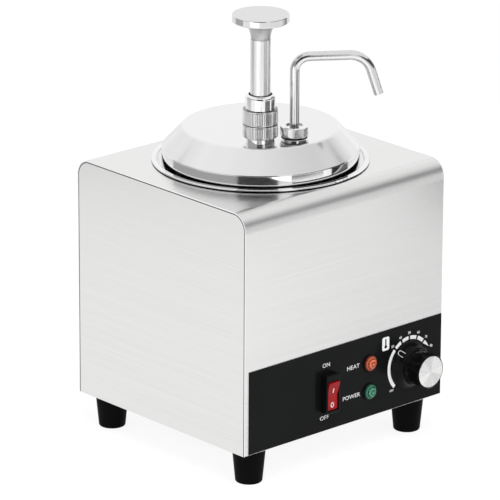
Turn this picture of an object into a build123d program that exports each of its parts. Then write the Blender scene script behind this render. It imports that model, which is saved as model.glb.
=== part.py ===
from build123d import *
import math
import os

# Hot fudge warmer with a pot, a lid and a hand pump. Millimetres, +Z up, front towards -Y.
# The origin is under the middle of the whole object, on the surface that it stands on.

# ------------------------------------------------------------------ casing
casing_width = 230.0        # over both side panels
casing_depth = 216.0        # front sheet to back sheet
casing_height = 214.5       # underside to top sheet
knob_reach = 28.0           # thermostat knob, out from the front sheet
gland_reach = 26.0          # cable gland, out from the back sheet
sheet = 1.2
bend_radius = 15.0          # outside radius of the two top bends
fold_radius = 2.0           # outside radius of the two bottom folds
lip_depth = 30.0            # lips folded in under the front and the back
side_flange = 12.0
seam = 0.4                  # gap between the bent sheet and each side panel
vent_length = 46.0
vent_width = 4.0
vent_pitch = 14.0
vents_per_row = 6

# ------------------------------------------------------------------ fits
thread_fit = 0.05           # radial gap of a thread, a pin or a pressed piece
hole_fit = 0.1              # radial gap of a plain hole round what passes through it
slide_fit = 0.1             # radial gap of a shaft or a tube that turns or slides
free_gap = 0.3              # gap between loose neighbours

# ------------------------------------------------------------------ feet
foot_height = 31.5
foot_top_radius = 14.6
foot_bottom_radius = 11.6
foot_edge = 1.5
foot_rim_edge = 0.5
foot_recess_radius = 5.5
foot_clamped = 7.5          # rubber left above the recess
foot_inset_x = 21.7         # foot centre, in from each side
foot_inset_y = 18.9         # foot centre, in from the front and the back
foot_screw_radius = 2.5
foot_head_radius = 4.5
foot_head_height = 3.2
foot_head_edge = 0.8
foot_nut_flats = 8.0
foot_nut_height = 4.0
thread_past_nut = 1.5
nut_bevel = 0.54            # share of a six-sided nut's corners that is turned off

# ------------------------------------------------------------------ well, pot and lid
pot_margin = 26.0           # pot's inside, in from the nearest casing wall
pot_wall = 0.8
pot_corner = 12.0
pot_ledge_drop = 6.0        # ledge for the lid, below the casing's top
pot_ledge_width = 7.2       # ledge, out to the pot's mouth
pot_ledge_edge = 0.5
pot_rim_width = 4.8         # rolled rim, out from the pot's mouth
pot_rim_height = 2.2
pot_rim_edge = 1.0
well_gap = 0.5              # between the pot's collar and the well
well_wall = 1.0
well_floor_height = 80.5    # outside of the well's floor, above the casing's underside
well_under_pot = 7.0        # outside of the well's floor, below the pot's
well_corner = 6.0
well_flange_width = 11.5    # flange, out from the well's bore
jacket_wall_gap = 3.2       # between the jacket and the nearest casing wall
jacket_top_gap = 7.6        # between the jacket and the well's flange
lid_sheet = 1.0
lid_inset = 3.9             # lid's skirt, in from the pot's mouth
lid_skirt_height = 17.6
lid_rise = 19.0             # height of the sloping shoulder
lid_slope_run = 17.8        # how far the shoulder slopes in
lid_shoulder_edge = 1.5
lid_flat_edge = 3.0
lid_hem_depth = 6.0         # hem that centres the lid in the pot

# ------------------------------------------------------------------ heating
heater_bulb_gap = 4.0       # between the heater plate and the sensor bulb
heater_plate_height = 6.0
element_ring_radius = 50.0
element_tube_radius = 3.25
element_gap_angle = 36.0
element_leg_length = 22.0
element_bend = 8.0
stud_radius = 3.0
stud_length = 26.0
stud_nut_flats = 10.0
stud_nut_height = 5.0
shield_drop = 17.0          # well's floor to the heat shield's top
shield_thickness = 0.8
shield_side_margin = 20.0
shield_hole_gap = 1.0       # round each leg of the element
shield_front_margin = 29.0  # casing front to the shield's front edge
shield_back_margin = 13.0
bulb_radius = 3.0
bulb_length = 60.0
bulb_inset = 3.5            # bulb's axis, in from the edge of the well's flat floor
bulb_gap = 0.2
bulb_edge = 1.5
capillary_radius = 1.0
capillary_bend = 4.0
clip_width = 12.0
clip_sheet = 1.0
cutout_radius = 7.0
cutout_height = 11.0
cutout_inset = 2.5          # cut-out's axis, in from the same edge
cutout_edge = 1.0

# ------------------------------------------------------------------ front controls
panel_thickness = 0.5
panel_left_margin = 3.4
panel_right_margin = 0.3
panel_bottom_margin = 1.4
panel_height = 74.2
dial_inset = 38.9           # dial's centre, in from the right side
dial_z = 69.6
thermostat_width = 40.0
thermostat_depth = 18.0
thermostat_edge = 3.0
thermostat_bush_radius = 4.8
thermostat_screw_radius = 2.0
thermostat_screw_spacing = 28.0
thermostat_screw_length = 9.0
screw_head_radius = 3.5
screw_head_height = 2.0
screw_head_edge = 0.6
shaft_radius = 3.0
shaft_flat = 0.8
shaft_reach = 20.0          # shaft end, out from the front sheet
shaft_in_body = 12.0
capillary_outlet_x = -6.0   # from the dial's centre
capillary_outlet_z = 5.4
knob_skirt_radius = 21.7
knob_skirt_edge = 1.4
knob_skirt_bulge = 0.2
knob_neck_radius = 14.6
knob_neck_reach = 11.0      # where the skirt's curve meets the grip
knob_grip_radius = 15.4
knob_grip_edge = 0.8
knob_hollow_radius = 18.2
knob_hollow_depth = 2.2
knob_hub_radius = 6.5
knob_standoff = 0.5         # skirt's back edge above the control panel
knob_cap_radius = 14.0
knob_cap_thickness = 1.2
knob_cap_edge = 0.4
knob_cap_stand = 0.4        # end cap, out from the grip's end
knob_flutes = 8
knob_flute_radius = 9.0
knob_flute_depth = 0.9
switch_inset = 94.7         # rocker's centre, in from the left side
switch_z = 65.9
switch_frame_width = 16.0
switch_frame_height = 35.0
switch_frame_lift = 1.7     # frame's middle, above the rocker's pivot
switch_frame_reach = 8.0
switch_frame_corner = 2.0
switch_frame_edge = 0.8
switch_wall = 0.9
switch_body_depth = 22.0
switch_well_depth = 12.0
rocker_width = 12.0
rocker_half_height = 12.8
rocker_end_taper = 0.4
rocker_side_gap = 0.3
rocker_end_gap = 0.6
rocker_pivot_reach = 5.0    # pivot, out from the front sheet
rocker_tip_rise = 3.0       # ends of the face, out from the pivot
rocker_mid_rise = 1.5       # middle of the face, out from the pivot
rocker_back = 5.0
rocker_pin_radius = 1.4
rocker_pin_reach = 0.9
rocker_swing = 14.0         # degrees from one end of its throw to the other
lamp_inset = 86.4           # lamps' centres, in from the right side
heat_lamp_z = 81.9
power_lamp_z = 56.0
lamp_flange_radius = 7.8
lamp_flange_thickness = 1.2
lamp_flange_edge = 0.4
lamp_barrel_radius = 5.9
lamp_barrel_length = 28.0
lamp_lens_radius = 6.9
lamp_lens_height = 4.3
lamp_lens_edge = 0.8        # straight side below the dome
lamp_bore_radius = 4.6
lamp_lens_spigot = 6.0

# ------------------------------------------------------------------ supply
gland_inset = 45.0          # gland's axis, in from the left side
gland_z = 62.0
gland_thread_radius = 10.0
gland_flats = 24.0
gland_flange_height = 5.0
gland_front_thread_radius = 8.5
gland_front_thread_length = 9.0
gland_bore_radius = 5.0
gland_nut_gap = 0.3
gland_nut_edge = 5.0
gland_locknut_height = 5.0
gland_past_nut = 2.0
cable_radius = 4.0
seal_radius = 7.0
seal_length = 14.0
seal_seat = 6.0             # seal's inner end, out from the back sheet
block_length = 44.0
block_width = 20.0
block_height = 18.0
block_inset = 55.0          # block's centre, in from the left side
block_back_margin = 34.0
block_poles = 3
block_screw_radius = 2.2
block_screw_depth = 8.0
earth_inset = 23.0          # screw's axis, in from the left side
earth_back_margin = 50.0
earth_radius = 2.0
earth_head_flats = 7.0
earth_head_height = 2.8
earth_length = 12.0

# ------------------------------------------------------------------ pump
pump_inset = 18.324         # pump's axis, in from the edge of the lid's flat top
pump_bearing = -132.940     # degrees from +X, about the well's axis
pump_base_radius = 12.3
pump_base_height = 5.8
pump_base_edge = 0.5
pump_base_foot_edge = 0.3
neck_radius = 10.0
neck_bore_radius = 9.1
neck_length = 14.6          # below the lid's top
ring_radius = 15.1
ring_bore_radius = 11.0
ring_chamfer = 0.4
lower_ring_height = 11.4
upper_ring_height = 13.1
cap_radius = 12.9
cap_mouth_radius = 9.75
cap_height = 12.6
cap_edge = 3.0
cap_mouth_edge = 0.1
gasket_thickness = 1.0
cylinder_radius = 15.0
cylinder_bore_radius = 13.0
cylinder_head = 8.0
plunger_radius = 8.75
plunger_stroke = 40.0
plunger_spare = 8.6         # shaft above the cap at the end of the stroke
piston_radius = 12.7
piston_height = 12.0
piston_top_gap = 4.0        # neck's end to the piston's top
piston_seal_radius = 12.95
piston_seal_height = 2.5
piston_groove_radius = 11.2
plunger_stud_radius = 4.0
plunger_stud_length = 10.0
bore_end_gap = 0.5          # blind bore beyond the shaft's end in it
flare_radius = 8.3
flare_mid_radius = 10.0
flare_top_radius = 13.9
flare_height = 15.0
flare_mid_height = 8.25
palm_radius = 24.4
palm_height = 6.9
palm_edge = 1.2
spring_radius = 12.0
spring_inner_radius = 10.0
valve_height = 24.0
valve_floor_gap = 8.2       # valve body above the pot's floor
valve_spigot_height = 6.0
valve_spigot_radius = 12.9
inlet_radius = 3.0
inlet_length = 5.0
chamber_radius = 5.5
ball_radius = 4.5
ball_seat_gap = 0.05
ball_lift = 5.5
arm_width = 14.0
arm_bottom = 6.0            # from the valve body's underside
arm_height = 16.0
arm_bore_radius = 3.0
arm_bore_height = 15.5
boss_radius = 8.5

# ------------------------------------------------------------------ spout
spout_offset_x = 28.7       # spout's axis, from the pump's
spout_offset_y = -11.6
spout_angle = -34.5         # direction of the spout, from +X
spout_radius = 4.25
spout_bore_radius = 3.25
spout_height = 72.4         # lid's top to the middle of the level run
spout_first_bend = 12.2
spout_run = 34.5
spout_second_bend = 19.5
spout_turn = 72.4
spout_tip_run = 22.4
spout_spigot = 7.0          # tube below its collar
spout_collar_radius = 6.0
spout_collar_height = 2.0
base_disc_radius = 11.5
base_disc_height = 1.4
base_disc_edge = 0.3
stem_radius = 8.0
stem_rise = 6.8             # stem's end above the lid's top
stem_drop = 14.6            # stem's end below the lid's top
spout_gasket_radius = 11.3
spout_gasket_height = 1.2
spout_nut_flats = 22.6
spout_nut_height = 9.4
spout_nut_recess_radius = 7.5
spout_nut_recess_depth = 1.2
spout_nut_floor = 1.7
spout_nut_chamfer = 0.8
stem_passage_radius = 3.5
discharge_radius = 5.0
discharge_bore_radius = 3.5
discharge_socket = 8.0
locknut_flats = 22.0
locknut_height = 4.0

# ------------------------------------------------------------------ places worked out from the sizes
half_width = casing_width / 2
half_span = min(casing_width, casing_depth) / 2
dial_x = half_width - dial_inset
lamp_x = half_width - lamp_inset
switch_x = switch_inset - half_width
gland_x = gland_inset - half_width
block_x = block_inset - half_width
earth_x = earth_inset - half_width
front_y = knob_reach - (casing_depth + knob_reach + gland_reach) / 2
back_y = front_y + casing_depth
mid_y = (front_y + back_y) / 2
base_z = foot_height
top_z = base_z + casing_height
plate_z = base_z + sheet
floor_z = plate_z + sheet
well_bottom = base_z + well_floor_height
pot_bottom = well_bottom + well_under_pot
ledge_z = top_z - pot_ledge_drop
pot_inner_radius = half_span - pot_margin
pot_mouth_radius = pot_inner_radius + pot_ledge_width
pot_rim_radius = pot_mouth_radius + pot_rim_width
well_bore_radius = pot_mouth_radius + pot_wall + well_gap
well_flange_radius = well_bore_radius + well_flange_width
well_floor_radius = well_bore_radius + well_wall - well_corner
bulb_offset = well_floor_radius - bulb_inset
cutout_offset = well_floor_radius - cutout_inset
heater_plate_radius = bulb_offset - bulb_radius - heater_bulb_gap
lid_radius = pot_mouth_radius - lid_inset
lid_flat_radius = lid_radius - lid_slope_run
lid_top = ledge_z + lid_skirt_height + lid_rise
pump_offset = lid_flat_radius - pump_inset
pump_x = pump_offset * math.cos(math.radians(pump_bearing))
pump_y = mid_y + pump_offset * math.sin(math.radians(pump_bearing))
spout_x = pump_x + spout_offset_x
spout_y = pump_y + spout_offset_y
shield_z = well_bottom - shield_drop
foot_places = [
    (side * (half_width - foot_inset_x), y)
    for y in (front_y + foot_inset_y, back_y - foot_inset_y)
    for side in (-1, 1)
]
panel_top = base_z + panel_bottom_margin + panel_height
ring_bottom = lid_top + pump_base_height
ring_split = ring_bottom + lower_ring_height
ring_top = ring_split + upper_ring_height
cap_top = ring_top + cap_height
neck_end = lid_top - neck_length
cylinder_top = lid_top - lid_sheet - gasket_thickness
piston_top = neck_end - piston_top_gap
piston_bottom = piston_top - piston_height
valve_bottom = pot_bottom + pot_wall + valve_floor_gap
cylinder_bottom = valve_bottom + valve_height
flare_bottom = cap_top + plunger_stroke + plunger_spare
palm_bottom = flare_bottom + flare_height
seat_z = valve_bottom + inlet_length
ball_z = seat_z - inlet_radius + ball_radius * math.sqrt(2) + ball_seat_gap
stem_top = lid_top + stem_rise
stem_bottom = lid_top - stem_drop
collar_bottom = stem_top + slide_fit
nut_bottom = lid_top + base_disc_height + spout_gasket_height
nut_top = nut_bottom + spout_nut_height
nut_floor = nut_top - spout_nut_recess_depth - spout_nut_floor
tube_seat = cylinder_bottom - discharge_socket
switch_body_width = rocker_width + 2 * (rocker_side_gap + switch_wall)
switch_body_height = 2 * (rocker_half_height + rocker_end_gap + switch_wall)


# ------------------------------------------------------------------ shapes
# Cuts run 1 mm past the faces they leave.
def block(x0, x1, y0, y1, z0, z1):
    """Box between two opposite corners."""
    return Pos((x0 + x1) / 2, (y0 + y1) / 2, (z0 + z1) / 2) * Box(x1 - x0, y1 - y0, z1 - z0)


def rod(radius, z0, z1, x=0.0, y=0.0):
    """Upright cylinder from height z0 to height z1."""
    return Pos(x, y, (z0 + z1) / 2) * Cylinder(radius, z1 - z0)


def tube(outer, inner, z0, z1, x=0.0, y=0.0):
    """Upright tube from height z0 to height z1."""
    return rod(outer, z0, z1, x, y) - rod(inner, z0 - 1, z1 + 1, x, y)


def turned(points, radii=None):
    """Solid turned about Z from a closed outline of (radius, height) points, with rounded corners."""
    if radii:
        line = FilletPolyline(*points, radius=radii, close=True)
    else:
        line = Polyline(*points, close=True)
    return revolve(make_face(Plane.XZ * line), axis=Axis.Z)


def many_sided(flats, sides, z0, z1):
    """Upright prism with so many sides, measured across its flats."""
    outline = RegularPolygon(flats / 2, sides, major_radius=False)
    return extrude(Pos(0, 0, z0) * outline, amount=z1 - z0)


def nut(flats, bore, z0, z1):
    """Six-sided nut with a plain bore, its corners turned off at both ends."""
    corner = flats / 2 / math.cos(math.pi / 6)
    drum = chamfer(rod(corner, z0, z1).edges(), (corner - flats / 2) * nut_bevel)
    return (many_sided(flats, 6, z0, z1) & drum) - rod(bore, z0 - 1, z1 + 1)


def upright_panel(points, radii, x0, x1):
    """Plate between x0 and x1 with a closed outline of (y, z) points."""
    line = FilletPolyline(*points, radius=radii, close=True)
    return Pos(x0, 0, 0) * extrude(make_face(Plane.YZ * line), amount=x1 - x0, dir=(1, 0, 0))


def on_front(piece, x, z):
    """Puts a piece built along +Z on the front sheet, its +Z pointing out of the sheet."""
    return Pos(x, front_y, z) * Rot(90, 0, 0) * piece


def on_back(piece, x, z):
    """Puts a piece built along +Z on the back sheet, its +Z pointing out of the sheet."""
    return Pos(x, back_y, z) * Rot(-90, 0, 0) * piece


def at_pump(piece):
    return Pos(pump_x, pump_y, 0) * piece


def at_spout(piece):
    return Pos(spout_x, spout_y, 0) * piece


def at_well(piece):
    return Pos(0, mid_y, 0) * piece


# ------------------------------------------------------------------ casing pieces
def front_openings():
    """Holes for the switch, the lamps and the thermostat, through sheet and control panel."""
    reach = sheet + panel_thickness + 2
    switch = Box(switch_body_width + 2 * hole_fit, switch_body_height + 2 * hole_fit, reach * 2)
    holes = on_front(switch, switch_x, switch_z)
    lamp = Cylinder(lamp_barrel_radius + hole_fit, reach * 2)
    for z in (heat_lamp_z, power_lamp_z):
        holes += on_front(lamp, lamp_x, z)
    holes += on_front(Cylinder(thermostat_bush_radius + hole_fit, reach * 2), dial_x, dial_z)
    screw = Cylinder(thermostat_screw_radius + hole_fit, reach * 2)
    for side in (-1, 1):
        holes += on_front(screw, dial_x + side * thermostat_screw_spacing / 2, dial_z)
    return holes


def foot_screw_holes():
    hole = Part()
    for x, y in foot_places:
        hole += rod(foot_screw_radius + hole_fit, base_z - 1, floor_z + 1, x, y)
    return hole


def casing_wrap():
    """One sheet bent over front, top and back, with a lip folded in under front and back."""
    outer = [(front_y, base_z), (front_y, top_z), (back_y, top_z), (back_y, base_z)]
    inner = [
        (front_y + sheet, base_z + sheet),
        (front_y + sheet, top_z - sheet),
        (back_y - sheet, top_z - sheet),
        (back_y - sheet, base_z + sheet),
    ]
    outer_radii = [fold_radius, bend_radius, bend_radius, fold_radius]
    inner_radii = [r - sheet for r in outer_radii]
    body = upright_panel(outer, outer_radii, -half_width, half_width)
    body -= upright_panel(inner, inner_radii, -half_width - 1, half_width + 1)
    body -= block(
        -half_width, half_width, front_y + lip_depth, back_y - lip_depth, base_z - 1, base_z + 2 * sheet
    )
    lip_half_width = half_width - sheet - seam
    for side in (-1, 1):
        ends = sorted((side * lip_half_width, side * (half_width + 1)))
        body -= block(*ends, front_y + sheet, back_y - sheet, base_z - 1, base_z + fold_radius)
    body -= at_well(rod(well_bore_radius, top_z - 2 * sheet, top_z + 1))
    body -= front_openings()
    body -= on_back(Cylinder(gland_thread_radius + hole_fit, 4 * sheet), gland_x, gland_z)
    return body - foot_screw_holes()


def side_panel(side):
    """Flanged panel set into the open side of the bent sheet; side is -1 for left, 1 for right."""
    gap = sheet + seam
    radius = bend_radius - gap
    outer = [(front_y + gap, base_z), (front_y + gap, top_z - gap)]
    outer += [(back_y - gap, top_z - gap), (back_y - gap, base_z)]
    inner = [(front_y + gap + sheet, base_z + sheet), (front_y + gap + sheet, top_z - gap - sheet)]
    inner += [(back_y - gap - sheet, top_z - gap - sheet), (back_y - gap - sheet, base_z + sheet)]
    panel = upright_panel(outer, [0, radius, radius, 0], half_width - side_flange, half_width)
    panel -= upright_panel(
        inner, [0, radius - sheet, radius - sheet, 0], half_width - side_flange - 1, half_width - sheet
    )
    notch_top = floor_z + seam
    for y0, y1 in ((front_y, front_y + lip_depth + seam), (back_y - lip_depth - seam, back_y)):
        panel -= block(half_width - side_flange - 1, half_width - sheet, y0, y1, base_z - 1, notch_top)
    return panel if side > 0 else mirror(panel, about=Plane.YZ)


def bottom_plate():
    """Vented plate that lies on the lips."""
    edge_x = half_width - sheet - seam
    edge_y = fold_radius + seam
    plate = block(-edge_x, edge_x, front_y + edge_y, back_y - edge_y, plate_z, floor_z)
    for row in (-1, 1):
        for n in range(vents_per_row):
            x = (n - (vents_per_row - 1) / 2) * vent_pitch
            y = mid_y + row * (vent_length / 2 + vent_width)
            slot = SlotOverall(vent_length, vent_width, rotation=90)
            plate -= Pos(x, y, plate_z - 1) * extrude(slot, amount=sheet + 2)
    plate -= rod(earth_radius + hole_fit, plate_z - 1, floor_z + 1, earth_x, back_y - earth_back_margin)
    return plate - foot_screw_holes()


def control_panel():
    """Black facing on the lower part of the front."""
    panel = block(
        panel_left_margin - half_width,
        half_width - panel_right_margin,
        front_y - panel_thickness,
        front_y,
        base_z + panel_bottom_margin,
        panel_top,
    )
    return panel - front_openings()


def foot(x, y):
    """Tapered rubber foot with a recess for its screw's head."""
    bore = foot_screw_radius + hole_fit
    recess_top = foot_height - foot_clamped
    points = [(foot_recess_radius, 0), (foot_bottom_radius, 0), (foot_top_radius, foot_height)]
    points += [(bore, foot_height), (bore, recess_top), (foot_recess_radius, recess_top)]
    return Pos(x, y, 0) * turned(points, [foot_rim_edge, foot_edge, foot_rim_edge, 0, 0, 0])


def foot_screws():
    recess_top = foot_height - foot_clamped
    end = floor_z + foot_nut_height + thread_past_nut
    screw = rod(foot_screw_radius, recess_top - 1, end)
    head = rod(foot_head_radius, recess_top - foot_head_height, recess_top)
    screw += chamfer(head.edges().sort_by(Axis.Z)[0], foot_head_edge)
    return Compound([Pos(x, y, 0) * screw for x, y in foot_places])


def foot_nuts():
    piece = nut(foot_nut_flats, foot_screw_radius + thread_fit, floor_z, floor_z + foot_nut_height)
    return Compound([Pos(x, y, 0) * piece for x, y in foot_places])


# ------------------------------------------------------------------ well, pot and lid
def well_tank():
    """Round well welded under the hole in the top sheet, with the heater's stud below it."""
    outer_radius = well_bore_radius + well_wall
    under_sheet = top_z - sheet
    tank = turned(
        [(0, well_bottom), (outer_radius, well_bottom), (outer_radius, under_sheet), (0, under_sheet)],
        [0, well_corner, 0, 0],
    )
    flange = rod(well_flange_radius, under_sheet - sheet, under_sheet)
    half_x = half_width - side_flange - seam
    half_y = casing_depth / 2 - bend_radius - seam
    flange &= block(-half_x, half_x, -half_y, half_y, well_bottom, top_z)
    tank += flange
    tank -= turned(
        [
            (0, well_bottom + well_wall),
            (well_bore_radius, well_bottom + well_wall),
            (well_bore_radius, top_z),
            (0, top_z),
        ],
        [0, well_corner - well_wall, 0, 0],
    )
    return at_well(tank + rod(stud_radius, well_bottom - stud_length, well_bottom))


def insulation_jacket():
    inner = well_bore_radius + well_wall + hole_fit
    outer = half_span - sheet - jacket_wall_gap
    return at_well(tube(outer, inner, well_bottom + well_corner, top_z - 2 * sheet - jacket_top_gap))


def pot():
    """Pot that hangs in the well by its rolled rim, with a ledge for the lid."""
    outer_radius = pot_inner_radius + pot_wall
    collar_radius = pot_mouth_radius + pot_wall
    rim_top = top_z + pot_rim_height
    outline = [
        ((0, pot_bottom), 0),
        ((outer_radius, pot_bottom), pot_corner),
        ((outer_radius, ledge_z - pot_wall), 0),
        ((collar_radius, ledge_z - pot_wall), pot_ledge_edge),
        ((collar_radius, top_z), 0),
        ((pot_rim_radius, top_z), pot_rim_edge),
        ((pot_rim_radius, rim_top), pot_rim_edge),
        ((pot_mouth_radius, rim_top), pot_rim_edge),
        ((pot_mouth_radius, ledge_z), 0),
        ((pot_inner_radius, ledge_z), pot_ledge_edge),
        ((pot_inner_radius, pot_bottom + pot_wall), pot_corner - pot_wall),
        ((0, pot_bottom + pot_wall), 0),
    ]
    return at_well(turned([point for point, _ in outline], [radius for _, radius in outline]))


def lid():
    """Spun lid: skirt on the pot's ledge, sloping shoulder, flat top with two holes."""
    shoulder_z = ledge_z + lid_skirt_height
    slope = math.atan2(lid_radius - lid_flat_radius, lid_rise)
    hem_radius = pot_inner_radius - seam
    inner_radius = lid_radius - lid_sheet
    outline = [
        ((0, lid_top), 0),
        ((lid_flat_radius, lid_top), lid_flat_edge),
        ((lid_radius, shoulder_z), lid_shoulder_edge),
        ((lid_radius, ledge_z), 0),
        ((hem_radius, ledge_z), 0),
        ((hem_radius, ledge_z - lid_hem_depth), 0),
        ((hem_radius - lid_sheet, ledge_z - lid_hem_depth), 0),
        ((hem_radius - lid_sheet, ledge_z + lid_sheet), 0),
        ((inner_radius, ledge_z + lid_sheet), 0),
        ((inner_radius, shoulder_z - lid_sheet * math.tan(slope / 2)), lid_shoulder_edge - lid_sheet),
        (
            (lid_flat_radius - lid_sheet * math.tan((math.pi / 2 - slope) / 2), lid_top - lid_sheet),
            lid_flat_edge - lid_sheet,
        ),
        ((0, lid_top - lid_sheet), 0),
    ]
    shell = at_well(turned([point for point, _ in outline], [radius for _, radius in outline]))
    shell -= at_pump(rod(neck_radius + hole_fit, lid_top - 2 * lid_sheet, lid_top + 1))
    return shell - at_spout(rod(stem_radius + hole_fit, lid_top - 2 * lid_sheet, lid_top + 1))


# ------------------------------------------------------------------ heating
def heater_plate():
    return at_well(
        tube(heater_plate_radius, stud_radius + free_gap, well_bottom - heater_plate_height, well_bottom)
    )


def element_ends():
    """The element's two (ring end, leg) pairs of (x, y) places, from the well's axis."""
    turn = math.radians(element_gap_angle / 2)
    ends = []
    for side in (1, -1):
        end = (element_ring_radius * math.cos(turn), side * element_ring_radius * math.sin(turn))
        leg = (end[0] + element_bend * math.sin(turn), end[1] - side * element_bend * math.cos(turn))
        ends.append((end, leg))
    return ends


def heating_element():
    """Tubular element: a ring against the plate, with both ends bent down into legs."""
    z = well_bottom - heater_plate_height - element_tube_radius
    low = z - element_leg_length
    (first, first_leg), (last, last_leg) = element_ends()
    rise = Line((*first_leg, low), (*first_leg, z - element_bend))
    bend_in = TangentArc((*first_leg, z - element_bend), (*first, z), tangent=(0, 0, 1))
    ring = ThreePointArc((*first, z), (-element_ring_radius, 0, z), (*last, z))
    bend_out = TangentArc((*last_leg, z - element_bend), (*last, z), tangent=(0, 0, 1))
    drop = Line((*last_leg, z - element_bend), (*last_leg, low))
    path = Wire([rise.edge(), bend_in.edge(), ring.edge(), bend_out.edge(), drop.edge()])
    section = Pos(*first_leg, low) * Circle(element_tube_radius)
    return at_well(sweep(section, path=path))


def heat_shield():
    """Sheet under the heater that hangs on the stud between two nuts."""
    front = front_y + shield_front_margin
    back = back_y - shield_back_margin
    half = half_width - shield_side_margin
    shield = block(-half, half, front, back, shield_z - shield_thickness, shield_z)
    under = shield_z - shield_thickness - 1
    shield -= at_well(rod(stud_radius + hole_fit, under, shield_z + 1))
    for _, leg in element_ends():
        shield -= at_well(rod(element_tube_radius + shield_hole_gap, under, shield_z + 1, *leg))
    return shield


def clamp_nuts():
    """Three nuts on the stud: one holds the plate, two hold the heat shield."""
    tops = [
        well_bottom - heater_plate_height,
        shield_z + stud_nut_height,
        shield_z - shield_thickness,
    ]
    bore = stud_radius + thread_fit
    return Compound([at_well(nut(stud_nut_flats, bore, top - stud_nut_height, top)) for top in tops])


def temperature_sensor():
    """Liquid-filled bulb under the well and its capillary down to the thermostat."""
    y = mid_y - bulb_offset
    z = well_bottom - bulb_radius - bulb_gap
    bulb = Pos(0, y, z) * Rot(0, 90, 0) * Cylinder(bulb_radius, bulb_length)
    bulb = fillet(bulb.edges().filter_by(GeomType.CIRCLE), bulb_edge)
    outlet_x = dial_x + capillary_outlet_x
    outlet_z = dial_z + capillary_outlet_z
    path = FilletPolyline(
        (bulb_length / 2 - 1, y, z),
        (outlet_x, y, z),
        (outlet_x, y, outlet_z),
        (outlet_x, front_y + sheet + thermostat_depth, outlet_z),
        radius=capillary_bend,
    )
    start = Plane(origin=path @ 0, z_dir=path % 0)
    return bulb + sweep(start * Circle(capillary_radius), path=path)


def sensor_clip():
    """Strap welded under the well that holds the bulb."""
    y = mid_y - bulb_offset
    inner = bulb_radius + free_gap
    inner_bottom = well_bottom - 2 * bulb_radius - 2 * bulb_gap
    outer = block(
        -clip_width / 2,
        clip_width / 2,
        y - inner - clip_sheet,
        y + inner + clip_sheet,
        inner_bottom - clip_sheet,
        well_bottom,
    )
    return outer - block(-clip_width, clip_width, y - inner, y + inner, inner_bottom, well_bottom + 1)


def safety_cutout():
    """Button thermostat that opens if the well runs too hot."""
    can = rod(cutout_radius, well_bottom - cutout_height, well_bottom)
    can = fillet(can.edges().sort_by(Axis.Z)[0], cutout_edge)
    return at_well(Pos(0, cutout_offset, 0) * can)


# ------------------------------------------------------------------ front controls
def thermostat_body():
    size = thermostat_width
    body = fillet(Box(size, size, thermostat_depth).edges().filter_by(Axis.Z), thermostat_edge)
    body = Pos(0, 0, -sheet - thermostat_depth / 2) * body
    body += rod(thermostat_bush_radius, -sheet - 1, panel_thickness)
    body -= rod(shaft_radius + slide_fit, -shaft_in_body - 1, panel_thickness + 1)
    for side in (-1, 1):
        x = side * thermostat_screw_spacing / 2
        bore = thermostat_screw_radius + thread_fit
        body -= rod(bore, -thermostat_screw_length - 2, 0, x)
    return on_front(body, dial_x, dial_z)


def thermostat_screws():
    screws = []
    for side in (-1, 1):
        screw = rod(thermostat_screw_radius, -thermostat_screw_length, panel_thickness + 0.5)
        head = rod(screw_head_radius, panel_thickness, panel_thickness + screw_head_height)
        screw += chamfer(head.edges().sort_by(Axis.Z)[-1], screw_head_edge)
        screws.append(on_front(Pos(side * thermostat_screw_spacing / 2, 0, 0) * screw, dial_x, dial_z))
    return Compound(screws)


def d_shaft(radius, flat, z0, z1):
    """Round bar with one flat on its upper side."""
    cut = radius - flat
    return rod(radius, z0, z1) - block(-radius, radius, cut, 2 * radius, z0 - 1, z1 + 1)


def thermostat_shaft():
    flat_start = panel_thickness + knob_standoff
    shaft = rod(shaft_radius, -shaft_in_body, flat_start)
    shaft += d_shaft(shaft_radius, shaft_flat, flat_start, shaft_reach)
    return on_front(shaft, dial_x, dial_z)


def thermostat_knob():
    """Knob with a dished skirt, a fluted grip and a recess for its end cap."""
    back = panel_thickness + knob_standoff
    hollow = back + knob_hollow_depth
    edge = back + knob_skirt_edge
    cap_seat = knob_reach - knob_cap_thickness
    recess = knob_cap_radius + hole_fit
    front = knob_reach - knob_cap_stand
    curve = ThreePointArc(
        (knob_skirt_radius, edge),
        (
            (knob_skirt_radius + 2 * knob_neck_radius) / 3 + knob_skirt_bulge,
            (2 * edge + knob_neck_reach) / 3,
        ),
        (knob_neck_radius, knob_neck_reach),
    )
    grip = Polyline(
        (knob_neck_radius, knob_neck_reach),
        (knob_grip_radius, front - knob_grip_edge),
        (knob_grip_radius - knob_grip_edge, front),
        (recess, front),
        (recess, cap_seat),
        (0, cap_seat),
        (0, hollow),
        (knob_hollow_radius, hollow),
        (knob_hollow_radius, back),
        (knob_skirt_radius, back),
        (knob_skirt_radius, edge),
    )
    knob = revolve(make_face(Plane.XZ * (curve + grip)), axis=Axis.Z)
    for n in range(knob_flutes):
        x = knob_grip_radius + knob_flute_radius - knob_flute_depth
        flute = rod(knob_flute_radius, knob_neck_reach - 1, knob_reach + 1, x)
        knob -= Rot(0, 0, (n + 0.5) * 360 / knob_flutes) * flute
    knob += rod(knob_hub_radius, back + 1, hollow + 1)
    bore = d_shaft(shaft_radius + thread_fit, shaft_flat, 0, shaft_reach + bore_end_gap)
    return on_front(knob - bore, dial_x, dial_z)


def knob_cap():
    cap = rod(knob_cap_radius, knob_reach - knob_cap_thickness, knob_reach)
    cap = chamfer(cap.edges().sort_by(Axis.Z)[-1], knob_cap_edge)
    return on_front(cap, dial_x, dial_z)


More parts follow.
